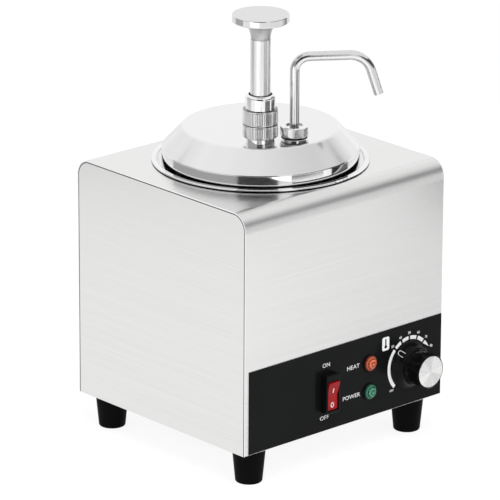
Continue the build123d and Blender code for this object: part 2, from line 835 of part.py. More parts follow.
def switch_housing():
    """Switch body behind the sheet with a raised frame in front."""
    frame_back = panel_thickness
    frame = Box(switch_frame_width, switch_frame_height, switch_frame_reach - frame_back)
    frame = fillet(frame.edges().filter_by(Axis.Z), switch_frame_corner)
    frame = Pos(0, switch_frame_lift, (switch_frame_reach + frame_back) / 2) * frame
    frame = fillet(frame.faces().sort_by(Axis.Z)[-1].edges(), switch_frame_edge)
    half_w = switch_body_width / 2
    half_h = switch_body_height / 2
    body = frame + block(-half_w, half_w, -half_h, half_h, -switch_body_depth, frame_back + 1)
    half_w -= switch_wall
    half_h -= switch_wall
    body -= block(-half_w, half_w, -half_h, half_h, -switch_well_depth, switch_frame_reach + 1)
    pin_hole = Rot(0, 90, 0) * Cylinder(rocker_pin_radius + slide_fit, rocker_pin_span() + 2 * hole_fit)
    return on_front(body - Pos(0, 0, rocker_pivot_reach) * pin_hole, switch_x, switch_z)


def rocker_pin_span():
    return rocker_width + 2 * (rocker_side_gap + rocker_pin_reach)


def switch_rocker():
    """Rocker with a shallow V face, shown with its lower half pressed in."""
    tip = (rocker_half_height, rocker_tip_rise)
    outline = Polyline(
        (0, rocker_mid_rise),
        tip,
        (rocker_half_height - rocker_end_taper, -rocker_mid_rise),
        (rocker_half_height / 3, -rocker_back),
        (-rocker_half_height / 3, -rocker_back),
        (rocker_end_taper - rocker_half_height, -rocker_mid_rise),
        (-tip[0], tip[1]),
        close=True,
    )
    rocker = extrude(make_face(Plane.YZ * outline), amount=rocker_width / 2, both=True)
    rocker += Rot(0, 90, 0) * Cylinder(rocker_pin_radius, rocker_pin_span())
    rocker = Pos(0, 0, rocker_pivot_reach) * Rot(rocker_swing / 2, 0, 0) * rocker
    return on_front(rocker, switch_x, switch_z)


def lamp_body(z):
    """Lamp holder: flange on the panel and a barrel behind it."""
    front = panel_thickness + lamp_flange_thickness
    body = rod(lamp_flange_radius, panel_thickness, front)
    body = chamfer(body.edges().sort_by(Axis.Z)[-1], lamp_flange_edge)
    body += rod(lamp_barrel_radius, -lamp_barrel_length, panel_thickness + 0.5)
    body -= rod(lamp_bore_radius, front - lamp_lens_spigot - 1, front + 1)
    return on_front(body, lamp_x, z)


def lamp_lens(z):
    """Domed lens with a spigot in the lamp holder."""
    front = panel_thickness + lamp_flange_thickness
    spigot = lamp_bore_radius - hole_fit
    top = front + lamp_lens_height
    rise = lamp_lens_height - lamp_lens_edge
    sphere = (lamp_lens_radius**2 + rise**2) / (2 * rise)
    half_turn = math.asin(lamp_lens_radius / sphere) / 2
    dome = ThreePointArc(
        (lamp_lens_radius, top - rise),
        (sphere * math.sin(half_turn), top - sphere * (1 - math.cos(half_turn))),
        (0, top),
    )
    sides = Polyline(
        (0, top),
        (0, front - lamp_lens_spigot),
        (spigot, front - lamp_lens_spigot),
        (spigot, front),
        (lamp_lens_radius, front),
        (lamp_lens_radius, top - rise),
    )
    lens = revolve(make_face(Plane.XZ * (dome + sides)), axis=Axis.Z)
    return on_front(lens, lamp_x, z)


# ------------------------------------------------------------------ supply
def gland_body():
    inner_end = sheet + gland_locknut_height + gland_past_nut
    thread_end = gland_flange_height + gland_front_thread_length
    body = rod(gland_thread_radius, -inner_end, 0)
    body += many_sided(gland_flats, 6, 0, gland_flange_height)
    body += rod(gland_front_thread_radius, gland_flange_height, thread_end)
    body -= rod(gland_bore_radius, -inner_end - 1, thread_end + 1)
    body -= rod(seal_radius + hole_fit, seal_seat, thread_end + 1)
    return on_back(body, gland_x, gland_z)


def gland_seal():
    return on_back(tube(seal_radius, cable_radius, seal_seat, seal_seat + seal_length), gland_x, gland_z)


def gland_nut():
    """Dome nut that squeezes the seal round the cable."""
    start = gland_flange_height + gland_nut_gap
    outer = rod(gland_flats / 2, start, gland_reach)
    outer = fillet(outer.edges().sort_by(Axis.Z)[-1], gland_nut_edge)
    thread_end = gland_flange_height + gland_front_thread_length + hole_fit
    outer -= rod(gland_front_thread_radius + thread_fit, start - 1, thread_end)
    outer -= rod(seal_radius + hole_fit, start, seal_seat + seal_length + hole_fit)
    return on_back(outer - rod(gland_bore_radius, start, gland_reach + 1), gland_x, gland_z)


def gland_locknut():
    piece = nut(gland_flats, gland_thread_radius + thread_fit, -sheet - gland_locknut_height, -sheet)
    return on_back(piece, gland_x, gland_z)


def terminal_block():
    y = back_y - block_back_margin
    half_l = block_length / 2
    half_w = block_width / 2
    top = floor_z + block_height
    body = block(block_x - half_l, block_x + half_l, y - half_w, y + half_w, floor_z, top)
    pitch = block_length / block_poles
    for n in range(block_poles):
        x = block_x + (n - (block_poles - 1) / 2) * pitch
        for side in (-1, 1):
            hole_y = y + side * block_width / 4
            body -= rod(block_screw_radius, top - block_screw_depth, top + 1, x, hole_y)
    return body


def earth_screw():
    y = back_y - earth_back_margin
    screw = rod(earth_radius, plate_z - 1, floor_z + earth_length)
    screw += many_sided(earth_head_flats, 6, plate_z - earth_head_height, plate_z)
    return Pos(earth_x, y, 0) * screw


# ------------------------------------------------------------------ pump on the lid
def pump_base():
    """Foot of the pump on the lid, with its neck down through the lid."""
    points = [
        (neck_bore_radius, neck_end),
        (neck_radius, neck_end),
        (neck_radius, lid_top),
        (pump_base_radius, lid_top),
        (pump_base_radius, ring_bottom),
        (neck_bore_radius, ring_bottom),
    ]
    return at_pump(turned(points, [0, 0, 0, pump_base_foot_edge, pump_base_edge, 0]))


def pump_ring(z0, z1):
    ring = chamfer(rod(ring_radius, z0, z1).edges(), ring_chamfer)
    return at_pump(ring - rod(ring_bore_radius, z0 - 1, z1 + 1))


def guide_bush():
    outer = ring_bore_radius - hole_fit
    return at_pump(tube(outer, plunger_radius + slide_fit, ring_bottom, ring_top))


def pump_cap():
    """Rounded cap over the guide, with a mouth wider than the plunger."""
    points = [
        (cap_mouth_radius, ring_top),
        (cap_radius, ring_top),
        (cap_radius, cap_top),
        (cap_mouth_radius, cap_top),
    ]
    return at_pump(turned(points, [0, 0, cap_edge, cap_mouth_edge]))


def pump_gasket():
    z0 = cylinder_top
    return at_pump(tube(cylinder_radius, neck_radius + hole_fit, z0, z0 + gasket_thickness))


def pump_cylinder():
    body = rod(cylinder_radius, cylinder_bottom, cylinder_top)
    body -= rod(cylinder_bore_radius, cylinder_bottom - 1, cylinder_top - cylinder_head)
    return at_pump(body - rod(neck_radius + thread_fit, cylinder_bottom, cylinder_top + 1))


def plunger_shaft():
    """Polished plunger with a threaded end for the knob and one for the piston."""
    shaft = rod(plunger_radius, piston_top, flare_bottom)
    shaft += rod(plunger_stud_radius, flare_bottom, flare_bottom + plunger_stud_length)
    shaft += rod(plunger_stud_radius, piston_top - plunger_stud_length, piston_top)
    return at_pump(shaft)


def piston():
    seal_mid = (piston_bottom + piston_top) / 2
    half = piston_seal_height / 2 + hole_fit
    body = rod(piston_radius, piston_bottom, piston_top)
    body -= tube(piston_radius + 1, piston_groove_radius - hole_fit, seal_mid - half, seal_mid + half)
    stud_end = piston_top - plunger_stud_length
    return at_pump(body - rod(plunger_stud_radius + thread_fit, stud_end - hole_fit, piston_top + 1))


def piston_seal():
    seal_mid = (piston_bottom + piston_top) / 2
    half = piston_seal_height / 2
    ring = tube(piston_seal_radius, piston_groove_radius, seal_mid - half, seal_mid + half)
    return at_pump(ring)


def plunger_knob():
    """Round palm disc with a flare down to the plunger."""
    flare = ThreePointArc(
        (flare_radius, flare_bottom),
        (flare_mid_radius, flare_bottom + flare_mid_height),
        (flare_top_radius, palm_bottom),
    )
    disc = FilletPolyline(
        (flare_top_radius, palm_bottom),
        (palm_radius, palm_bottom),
        (palm_radius, palm_bottom + palm_height),
        (0, palm_bottom + palm_height),
        (0, flare_bottom),
        (flare_radius, flare_bottom),
        radius=[palm_edge, palm_edge, 0, 0],
    )
    knob = revolve(make_face(Plane.XZ * (flare + disc)), axis=Axis.Z)
    bore = plunger_stud_radius + thread_fit
    return at_pump(knob - rod(bore, flare_bottom - 1, flare_bottom + plunger_stud_length + bore_end_gap))


def return_spring():
    """Space that the return spring takes, from the valve body's spigot to the piston."""
    bottom = cylinder_bottom + valve_spigot_height
    return at_pump(tube(spring_radius, spring_inner_radius, bottom, piston_bottom))


def valve_body():
    """Foot of the cylinder: inlet seat, ball chamber and a passage across to the discharge tube."""
    body = at_pump(rod(cylinder_radius, valve_bottom, cylinder_bottom))
    body += at_pump(rod(valve_spigot_radius, cylinder_bottom, cylinder_bottom + valve_spigot_height))
    across = math.hypot(spout_x - pump_x, spout_y - pump_y)
    heading = math.degrees(math.atan2(spout_y - pump_y, spout_x - pump_x))
    low = valve_bottom + arm_bottom
    arm = block(0, across, -arm_width / 2, arm_width / 2, low, low + arm_height)
    passage = Pos(0, 0, valve_bottom + arm_bore_height) * Rot(0, 90, 0)
    passage *= Pos(0, 0, across / 2) * Cylinder(arm_bore_radius, across)
    body += at_pump(Rot(0, 0, heading) * arm)
    body += at_spout(rod(boss_radius, low, cylinder_bottom))
    chamber_top = ball_z + ball_radius + ball_lift + slide_fit
    cone = Pos(0, 0, seat_z + (chamber_radius - inlet_radius) / 2)
    cone *= Cone(inlet_radius, chamber_radius, chamber_radius - inlet_radius)
    body -= at_pump(rod(inlet_radius, valve_bottom - 1, cylinder_bottom + valve_spigot_height + 1))
    body -= at_pump(cone)
    body -= at_pump(rod(chamber_radius, seat_z + chamber_radius - inlet_radius, chamber_top))
    body -= at_pump(Rot(0, 0, heading) * passage)
    body -= at_spout(rod(discharge_bore_radius, valve_bottom + arm_bore_height, cylinder_bottom))
    return body - at_spout(rod(discharge_radius + thread_fit, tube_seat, cylinder_bottom + 1))


def valve_ball():
    return at_pump(Pos(0, 0, ball_z) * Sphere(ball_radius))


def discharge_tube():
    top = stem_bottom + discharge_socket
    return at_spout(tube(discharge_radius, discharge_bore_radius, tube_seat, top))


# ------------------------------------------------------------------ spout on the lid
def spout_base():
    """Disc on the lid with a hollow stem through it that carries the spout and the discharge tube."""
    body = rod(base_disc_radius, lid_top, lid_top + base_disc_height)
    body = chamfer(body.edges().sort_by(Axis.Z)[-1], base_disc_edge)
    body += rod(stem_radius, stem_bottom, stem_top)
    body -= rod(stem_passage_radius, stem_bottom - 1, stem_top + 1)
    body -= rod(discharge_radius + thread_fit, stem_bottom - 1, stem_bottom + discharge_socket)
    spigot_end = collar_bottom - spout_spigot - slide_fit
    return at_spout(body - rod(spout_radius + slide_fit, spigot_end, stem_top + 1))


def spout_gasket():
    z0 = lid_top + base_disc_height
    return at_spout(tube(spout_gasket_radius, stem_radius + hole_fit, z0, z0 + spout_gasket_height))


def spout_nut():
    """Eight-sided nut that holds the spout's collar down on the stem."""
    corner = spout_nut_flats / 2 / math.cos(math.pi / 8)
    drum = chamfer(rod(corner, nut_bottom, nut_top).edges(), spout_nut_chamfer)
    body = many_sided(spout_nut_flats, 8, nut_bottom, nut_top) & drum
    body -= rod(stem_radius + thread_fit, nut_bottom - 1, nut_floor)
    body -= rod(spout_nut_recess_radius, nut_top - spout_nut_recess_depth, nut_top + 1)
    return at_spout(body - rod(spout_radius + slide_fit, nut_floor - 1, nut_top + 1))


def spout_locknut():
    top = lid_top - lid_sheet
    return at_spout(nut(locknut_flats, stem_radius + thread_fit, top - locknut_height, top))


def spout_tube():
    """Bent tube: up, level run, and down at the tip, with a collar under the nut."""
    level = lid_top + spout_height
    turn = math.radians(spout_turn)
    tangent = spout_second_bend * math.tan(turn / 2)
    corner = spout_first_bend + spout_run + tangent
    tip = tangent + spout_tip_run
    start = collar_bottom - spout_spigot
    path = FilletPolyline(
        (0, 0, start),
        (0, 0, level),
        (corner, 0, level),
        (corner + tip * math.cos(turn), 0, level - tip * math.sin(turn)),
        radius=[spout_first_bend, spout_second_bend],
    )
    section = Circle(spout_radius) - Circle(spout_bore_radius)
    bent = sweep(Pos(0, 0, start) * section, path=path)
    mid_wall = (spout_radius + spout_bore_radius) / 2
    bent += tube(spout_collar_radius, mid_wall, collar_bottom, collar_bottom + spout_collar_height)
    return at_spout(Rot(0, 0, spout_angle) * bent)


# ------------------------------------------------------------------ write the pieces
pieces = {
    "casing_wrap": casing_wrap(),
    "left_side_panel": side_panel(-1),
    "right_side_panel": side_panel(1),
    "bottom_plate": bottom_plate(),
    "control_panel": control_panel(),
    "foot_screws": foot_screws(),
    "foot_nuts": foot_nuts(),
    "well_tank": well_tank(),
    "insulation_jacket": insulation_jacket(),
    "pot": pot(),
    "lid": lid(),
    "heater_plate": heater_plate(),
    "heating_element": heating_element(),
    "heat_shield": heat_shield(),
    "clamp_nuts": clamp_nuts(),
    "temperature_sensor": temperature_sensor(),
    "sensor_clip": sensor_clip(),
    "safety_cutout": safety_cutout(),
    "thermostat_body": thermostat_body(),
    "thermostat_screws": thermostat_screws(),
    "thermostat_shaft": thermostat_shaft(),
    "thermostat_knob": thermostat_knob(),
    "knob_cap": knob_cap(),
    "switch_housing": switch_housing(),
    "switch_rocker": switch_rocker(),
    "heat_lamp_body": lamp_body(heat_lamp_z),
    "heat_lamp_lens": lamp_lens(heat_lamp_z),
    "power_lamp_body": lamp_body(power_lamp_z),
    "power_lamp_lens": lamp_lens(power_lamp_z),
    "gland_body": gland_body(),
    "gland_seal": gland_seal(),
    "gland_nut": gland_nut(),
    "gland_locknut": gland_locknut(),
    "terminal_block": terminal_block(),
    "earth_screw": earth_screw(),
    "pump_base": pump_base(),
    "lower_ring": pump_ring(ring_bottom, ring_split),
    "upper_ring": pump_ring(ring_split, ring_top),
    "guide_bush": guide_bush(),
    "pump_cap": pump_cap(),
    "pump_gasket": pump_gasket(),
    "pump_cylinder": pump_cylinder(),
    "plunger_shaft": plunger_shaft(),
    "piston": piston(),
    "piston_seal": piston_seal(),
    "plunger_knob": plunger_knob(),
    "return_spring": return_spring(),
    "valve_body": valve_body(),
    "valve_ball": valve_ball(),
    "discharge_tube": discharge_tube(),
    "spout_base": spout_base(),
    "spout_gasket": spout_gasket(),
    "spout_nut": spout_nut(),
    "spout_locknut": spout_locknut(),
    "spout_tube": spout_tube(),
}
foot_names = ("foot_front_left", "foot_front_right", "foot_rear_left", "foot_rear_right")
for name, (x, y) in zip(foot_names, foot_places):
    pieces[name] = foot(x, y)

os.makedirs("parts", exist_ok=True)
for name, piece in pieces.items():
    export_step(piece, f"parts/{name}.step")
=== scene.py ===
import math

import bmesh
import bpy
from bpy.props import FloatProperty, FloatVectorProperty, IntProperty, PointerProperty
from mathutils import Matrix, Vector


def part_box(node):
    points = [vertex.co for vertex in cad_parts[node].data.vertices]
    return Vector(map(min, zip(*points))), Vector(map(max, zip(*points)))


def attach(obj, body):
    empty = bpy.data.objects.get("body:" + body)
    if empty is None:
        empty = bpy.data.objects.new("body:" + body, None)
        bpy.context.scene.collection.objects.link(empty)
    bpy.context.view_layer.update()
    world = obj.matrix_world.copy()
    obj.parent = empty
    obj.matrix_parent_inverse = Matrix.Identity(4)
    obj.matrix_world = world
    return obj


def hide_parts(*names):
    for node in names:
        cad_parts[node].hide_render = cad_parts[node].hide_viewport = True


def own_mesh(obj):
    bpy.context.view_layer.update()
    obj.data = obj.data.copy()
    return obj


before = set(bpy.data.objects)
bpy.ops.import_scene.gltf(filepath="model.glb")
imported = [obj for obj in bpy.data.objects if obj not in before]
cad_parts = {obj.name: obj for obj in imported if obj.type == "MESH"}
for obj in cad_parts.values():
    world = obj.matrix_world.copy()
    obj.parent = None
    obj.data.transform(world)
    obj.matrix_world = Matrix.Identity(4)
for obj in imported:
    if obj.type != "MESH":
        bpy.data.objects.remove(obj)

bl_info = {
    "name": "Topping Warmer",
    "version": (1, 0, 0),
    "blender": (4, 5, 0),
    "location": "View3D > Sidebar > Warmer",
    "description": "Finishes, printed front and turned details of a hot topping warmer with a hand pump",
    "category": "Object",
}

MM = 0.001


def middle(node):
    """Middle of a CAD piece's box."""
    low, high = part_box(node)
    return (low + high) / 2


PUMP_AXIS = middle("lower_ring")
SPOUT_AXIS = middle("spout_nut")
WELL_AXIS = middle("pot")
DIAL = middle("knob_cap")
SWITCH = middle("switch_housing")
ROCKER_PIVOT_Z = SWITCH.z - 1.7 * MM
HEAT_LAMP = middle("heat_lamp_lens")
POWER_LAMP = middle("power_lamp_lens")
PANEL_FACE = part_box("control_panel")[0].y
SHEET_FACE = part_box("control_panel")[1].y
POINTER_AT_REST = 134.0  # degrees from +X


# ------------------------------------------------------------------ what a user can change
def length(name, description, default):
    return FloatProperty(name=name, description=description, default=default, min=0.0, precision=5,
                         subtype="DISTANCE", unit="LENGTH")


def colour(name, description, default):
    return FloatVectorProperty(name=name, description=description, default=default, size=3,
                               min=0.0, max=1.0, subtype="COLOR")


def number(name, description, default, subtype="NONE"):
    return FloatProperty(name=name, description=description, default=default, min=0.0, subtype=subtype)


def count(name, description, default, least):
    return IntProperty(name=name, description=description, default=default, min=least)


class WarmerPrint(bpy.types.PropertyGroup):
    """Sizes of the print on the control panel."""

    film: length("Film", "Thickness of the printed film", 0.04 * MM)
    switch_word: length("Switch words", "Cap height of ON and OFF", 3.7 * MM)
    lamp_word: length("Lamp words", "Cap height of HEAT and POWER", 3.7 * MM)
    band_inner: length("Dial band inside", "Inner radius of the dial's band", 22.3 * MM)
    band_outer: length("Dial band outside", "Outer radius of the dial's band", 25.6 * MM)
    dial_gap: length("Dial gap", "Width of the gaps in the dial's band", 2.1 * MM)
    dial_numbers: length("Dial numbers", "Height of the numbers round the dial", 2.3 * MM)
    number_radius: length("Number radius", "Distance of the numbers from the dial's centre", 28.6 * MM)


class WarmerDetails(bpy.types.PropertyGroup):
    """Sizes of the fine shapes that dress the turned pieces."""

    knurl_count: count("Knurls", "Ridges round each pump ring", 64, 12)
    knurl_depth: length("Knurl depth", "Depth of the grooves round the pump rings", 0.4 * MM)
    # Painted shade marks this joint.
    joint_line: length("Joint line", "Height of the dark joint between the pump rings", 0.8 * MM)
    nut_ribs: count("Nut ribs", "Ribs on each face of the spout nut", 9, 1)
    nut_rib_depth: length("Nut rib depth", "Depth of the ribs on the spout nut", 0.3 * MM)
    spring_turns: count("Spring turns", "Turns of the return spring", 12, 4)
    wire: length("Spring wire", "Diameter of the return spring's wire", 1.9 * MM)
    quilting: length("Quilting", "Depth of the stitched lines in the insulation", 1.6 * MM)


class WarmerColours(bpy.types.PropertyGroup):
    """Colours and strengths of the finishes."""

    satin_steel: colour("Satin steel", "Brushed stainless steel of the casing", (0.80, 0.80, 0.795))
    polished_steel: colour("Polished steel", "Mirror polished stainless steel", (0.86, 0.86, 0.86))
    # Painted shade: this colour darkens seams, grooves, the ring joint, the pump cap's mouth and the pot's
    # rim.
    painted_shade: colour("Soil", "Dark line that gathers in seams and grooves", (0.02, 0.02, 0.02))
    zinc: colour("Zinc", "Zinc plated steel", (0.56, 0.57, 0.58))
    panel: colour("Panel", "Black film of the control panel", (0.0060, 0.0064, 0.0068))
    black_plastic: colour("Black plastic", "Knob, switch frame and lamp holders", (0.004, 0.004, 0.0045))
    rubber: colour("Rubber", "Feet and seals", (0.0035, 0.0035, 0.0037))
    print_white: colour("Print", "White ink on the panel and the rocker", (0.86, 0.86, 0.86))
    rocker_red: colour("Rocker", "Red rocker of the switch", (0.30, 0.006, 0.008))
    amber: colour("Amber", "Lens of the heat lamp", (0.50, 0.070, 0.008))
    green: colour("Green", "Lens of the power lamp", (0.002, 0.16, 0.080))


class WarmerStage(bpy.types.PropertyGroup):
    """Light and camera of the studio."""

    sky: number("Sky", "Strength of the even light from all sides", 0.78)
    key_light: number("Key light", "Power of the soft box above, in watts", 26.0, "POWER")
    side_light: number("Side light", "Power of the soft box on the left, in watts", 8.0, "POWER")
    lens: FloatProperty(name="Lens", description="Focal length in millimetres", default=340.05, min=1.0,
                        subtype="DISTANCE_CAMERA")
    far_sky: number("Far sky", "Brightness that steel shows low behind the object", 1.04)
    near_sky: number("Near sky", "Brightness that steel shows overhead and in front", 0.97)


# ------------------------------------------------------------------ materials from expressions
class Value:
    """Output of a shader node, used in Python expressions as a number that varies over a surface."""

    def __init__(self, shader, socket):
        self.shader = shader
        self.socket = socket

    def __getitem__(self, name):
        return Value(self.shader, self.socket.node.outputs[name])

    def _math(self, operation, first, second=0.0):
        return self.shader.node("ShaderNodeMath", {"operation": operation}, {0: first, 1: second})

    def __add__(self, other):
        return self._math("ADD", self, other)

    def __radd__(self, other):
        return self._math("ADD", other, self)

    def __sub__(self, other):
        return self._math("SUBTRACT", self, other)

    def __rsub__(self, other):
        return self._math("SUBTRACT", other, self)

    def __mul__(self, other):
        return self._math("MULTIPLY", self, other)

    def __rmul__(self, other):
        return self._math("MULTIPLY", other, self)

    def __pow__(self, other):
        return self._math("POWER", self, other)

    def __rpow__(self, other):
        return self._math("POWER", other, self)

    def __lt__(self, other):
        return self._math("LESS_THAN", self, other)

    def __gt__(self, other):
        return self._math("GREATER_THAN", self, other)

    def sine(self):
        return self._math("SINE", self)

    def size(self):
        """Length of a vector."""
        return self.shader.node("ShaderNodeVectorMath", {"operation": "LENGTH"}, {0: self})["Value"]

    def parts(self):
        """X, Y and Z of a vector."""
        split = self.shader.node("ShaderNodeSeparateXYZ", None, {0: self})
        return split["X"], split["Y"], split["Z"]

    def magnitude(self):
        return self._math("ABSOLUTE", self)

    def at_least(self, other):
        return self._math("MAXIMUM", self, other)


class Shader:
    """Node tree of one material or of the world."""

    def __init__(self, owner):
        owner.use_nodes = True
        self.owner = owner
        self.tree = owner.node_tree
        self.tree.nodes.clear()

    def node(self, kind, settings=None, sockets=None, output=0):
        """Adds a node: its settings first, then the values or links of its sockets."""
        made = self.tree.nodes.new(kind)
        for key, value in (settings or {}).items():
            if key == "stops":
                self._set_stops(made.color_ramp.elements, value)
            else:
                setattr(made, key, value)
        for key, value in (sockets or {}).items():
            if isinstance(value, Value):
                self.tree.links.new(value.socket, made.inputs[key])
            else:
                made.inputs[key].default_value = value
        return Value(self, made.outputs[output]) if len(made.outputs) else None

    def _set_stops(self, elements, stops):
        while len(elements) < len(stops):
            elements.new(1.0)
        for element, (place, tone) in zip(elements, stops):
            element.position = place
            element.color = (tone, tone, tone, 1.0)

    def place(self, stretch=(1.0, 1.0, 1.0), centre=(0.0, 0.0, 0.0)):
        """Place on the object in metres from a centre, stretched along each axis."""
        here = self.node("ShaderNodeTexCoord")["Object"]
        moved = self.node("ShaderNodeVectorMath", {"operation": "SUBTRACT"}, {0: here, 1: tuple(centre)})
        return self.node("ShaderNodeVectorMath", {"operation": "MULTIPLY"}, {0: moved, 1: tuple(stretch)})

    def noise(self, place, scale, detail=2.0, roughness=0.5):
        return self.node(
            "ShaderNodeTexNoise",
            None,
            {"Vector": place, "Scale": scale, "Detail": detail, "Roughness": roughness},
        )

    def rings(self, radius, scale):
        """Noise that changes only with the distance from an axis."""
        return self.noise(self.node("ShaderNodeCombineXYZ", None, {0: radius}), scale, 3.0)

    def from_axis(self, centre, axis=2):
        """Distance from an axis through a centre."""
        return self.place(tuple(0.0 if part == axis else 1.0 for part in range(3)), centre).size()

    def grey(self, level):
        """Grey colour of a brightness that varies."""
        return self.node("ShaderNodeCombineColor", None, {0: level, 1: level, 2: level})

    def angle(self, centre, axis=2):
        """Angle round an axis through a centre, in radians."""
        x, y, z = self.place(centre=centre).parts()
        first, second = ((y, z), (x, z), (x, y))[axis]
        return self.node("ShaderNodeMath", {"operation": "ARCTAN2"}, {0: second, 1: first})

    def ramp(self, value, low, high, first=0.0, last=1.0):
        """Maps a value from low..high to first..last and holds it at both ends."""
        return self.node(
            "ShaderNodeMapRange",
            None,
            {"Value": value, "From Min": low, "From Max": high, "To Min": first, "To Max": last},
        )

    def mix(self, factor, first, second):
        """Colour between two colours."""
        return self.node(
            "ShaderNodeMix",
            {"data_type": "RGBA"},
            {0: factor, 6: opaque(first), 7: opaque(second)},
            2,
        )

    def bump(self, height, distance, strength):
        """Normal of a surface that a height in 0..1 raises by a distance."""
        sockets = {"Height": height, "Distance": distance, "Strength": strength}
        return self.node("ShaderNodeBump", None, sockets)

    def surface(self, **sockets):
        """Puts a Principled surface with these sockets on the output."""
        names = {key.replace("_", " "): value for key, value in sockets.items()}
        shader = self.node("ShaderNodeBsdfPrincipled", None, names)
        self.node("ShaderNodeOutputMaterial", None, {"Surface": shader})
        return self.owner


def opaque(tone):
    """A colour of three numbers with full alpha, or a link as it is."""
    return tone if isinstance(tone, Value) else (*tone[:3], 1.0)


def shade(tone, factor):
    """A colour made darker or lighter."""
    return tuple(min(1.0, part * factor) for part in tone[:3])


def lighter(tone, share):
    """A colour made brighter and moved towards white by a share."""
    return tuple(min(1.0, part * 1.6 + (1.0 - part) * share) for part in tone[:3])


def material(name):
    """A new material's shader."""
    return Shader(bpy.data.materials.new(name))


def colours():
    return bpy.context.scene.warmer_colours


def satin_steel(name, stretch, tone, dark=None, bright=None, soft=None):
    """Brushed steel whose grain runs along the axis with the small stretch.

    dark, bright and soft take the shader and give the share of painted shade at a seam, of a bare cut
    edge and of metal that bending has dulled.
    """
    shader = material(name)
    fine = shader.noise(shader.place(stretch), 1.0, 3.0, 0.6)
    broad = shader.noise(shader.place(tuple(part * 0.12 for part in stretch)), 1.0, 2.0)
    cloud = shader.noise(shader.place(), 9.0, 2.0)
    streak = fine * 0.8 + broad * 0.2
    base = shader.mix(shader.ramp(streak, 0.3, 0.7), shade(tone, 0.955), shade(tone, 1.03))
    if bright:
        base = shader.mix(bright(shader), base, shade(tone, 1.2))
    if dark:
        # Painted shade where the dark share falls.
        base = shader.mix(dark(shader), base, colours().painted_shade)
    roughness = shader.ramp(streak, 0.3, 0.7, 0.2, 0.26) + (cloud - 0.5) * 0.04
    if soft:
        roughness = roughness + soft(shader) * 0.2
    return shader.surface(
        Base_Color=base,
        Metallic=1.0,
        Roughness=roughness,
        Normal=shader.bump(streak, 0.01 * MM, 0.3),
    )


def polished_steel(name, tone, roughness=0.055, dark=None):
    """Mirror polish with faint wiping marks; dark takes the shader and gives the share of painted shade."""
    shader = material(name)
    marks = shader.noise(shader.place(), 60.0, 4.0, 0.6)
    cloud = shader.noise(shader.place(), 14.0, 2.0)
    base = shader.mix(shader.ramp(cloud, 0.35, 0.65), shade(tone, 0.97), tone)
    if dark:
        # Painted shade where the dark share falls.
        base = shader.mix(dark(shader), base, colours().painted_shade)
    return shader.surface(
        Base_Color=base,
        Metallic=1.0,
        Roughness=shader.ramp(marks, 0.35, 0.75, roughness, roughness * 1.9),
        Normal=shader.bump(marks, 0.01 * MM, 0.2),
    )


def drawn_steel(name, tone, roughness):
    """Round bar or tube with the fine lengthwise lines of drawing and polishing."""
    shader = material(name)
    lines = shader.noise(shader.place((900.0, 900.0, 12.0)), 1.0, 3.0, 0.6)
    cloud = shader.noise(shader.place(), 40.0, 3.0)
    return shader.surface(
        Base_Color=shader.mix(shader.ramp(lines, 0.3, 0.7), shade(tone, 0.9), shade(tone, 1.03)),
        Metallic=1.0,
        Roughness=shader.ramp(lines, 0.3, 0.7, roughness * 0.85, roughness * 1.2) + (cloud - 0.5) * 0.06,
        Normal=shader.bump(lines, 0.01 * MM, 0.4),
    )


def turned_metal(name, tone, centre, axis, pitch, roughness, painted_sectors=0.0):
    """Metal faced in a lathe: fine rings round an axis, and if wanted broad dark wedges of painted
    reflection round it.
    """
    shader = material(name)
    radius = shader.from_axis(centre, axis)
    wander = shader.noise(shader.place(), 120.0, 2.0)
    rings = (radius * (2 * math.pi / pitch) + wander * 4.0).sine() * 0.5 + 0.5
    base = shader.mix(rings * 0.6 + wander * 0.4, shade(tone, 0.94), shade(tone, 1.03))
    if painted_sectors:
        # Painted reflection: dark wedges by the angle round the axis.
        turn = shader.angle(centre, axis)
        fan = (turn * 2.0 + 0.9).sine() * 0.5 + (turn * 5.0 + 2.1).sine() * 0.3 + (turn * 17.0).sine() * 0.2
        base = shader.mix(shader.ramp(fan, -0.7, 0.8, painted_sectors, 0.0), base, shade(tone, 0.45))
    return shader.surface(
        Base_Color=base,
        Metallic=1.0,
        Roughness=shader.ramp(rings, 0.0, 1.0, roughness * 0.8, roughness * 1.25),
        Normal=shader.bump(rings, 0.01 * MM, 0.5),
    )


def rough_metal(name, tone, scale, roughness, depth=0.06 * MM):
    """Plated, cast or oxidised metal with a mottled skin."""
    shader = material(name)
    mottle = shader.noise(shader.place(), scale, 4.0, 0.6)
    fine = shader.noise(shader.place(), scale * 6.0, 3.0)
    return shader.surface(
        Base_Color=shader.mix(shader.ramp(mottle, 0.3, 0.7), shade(tone, 0.82), shade(tone, 1.08)),
        Metallic=1.0,
        Roughness=shader.ramp(mottle, 0.3, 0.7, roughness * 0.8, roughness * 1.2),
        Normal=shader.bump(mottle * 0.5 + fine * 0.5, depth, 0.5),
    )


def moulded(name, tone, roughness, specular=0.3, scale=900.0, depth=0.01 * MM, coat=0.0):
    """Moulded plastic or rubber with a fine grain and slightly uneven gloss."""
    shader = material(name)
    grain = shader.noise(shader.place(), scale, 3.0)
    cloud = shader.noise(shader.place(), 55.0, 3.0)
    return shader.surface(
        Base_Color=shader.mix(shader.ramp(cloud, 0.35, 0.65), shade(tone, 0.88), shade(tone, 1.12)),
        Roughness=shader.ramp(cloud, 0.3, 0.7, roughness * 0.85, roughness * 1.2),
        Specular_IOR_Level=specular,
        Coat_Weight=coat,
        Coat_Roughness=0.08,
        Normal=shader.bump(grain, depth, 0.4),
    )


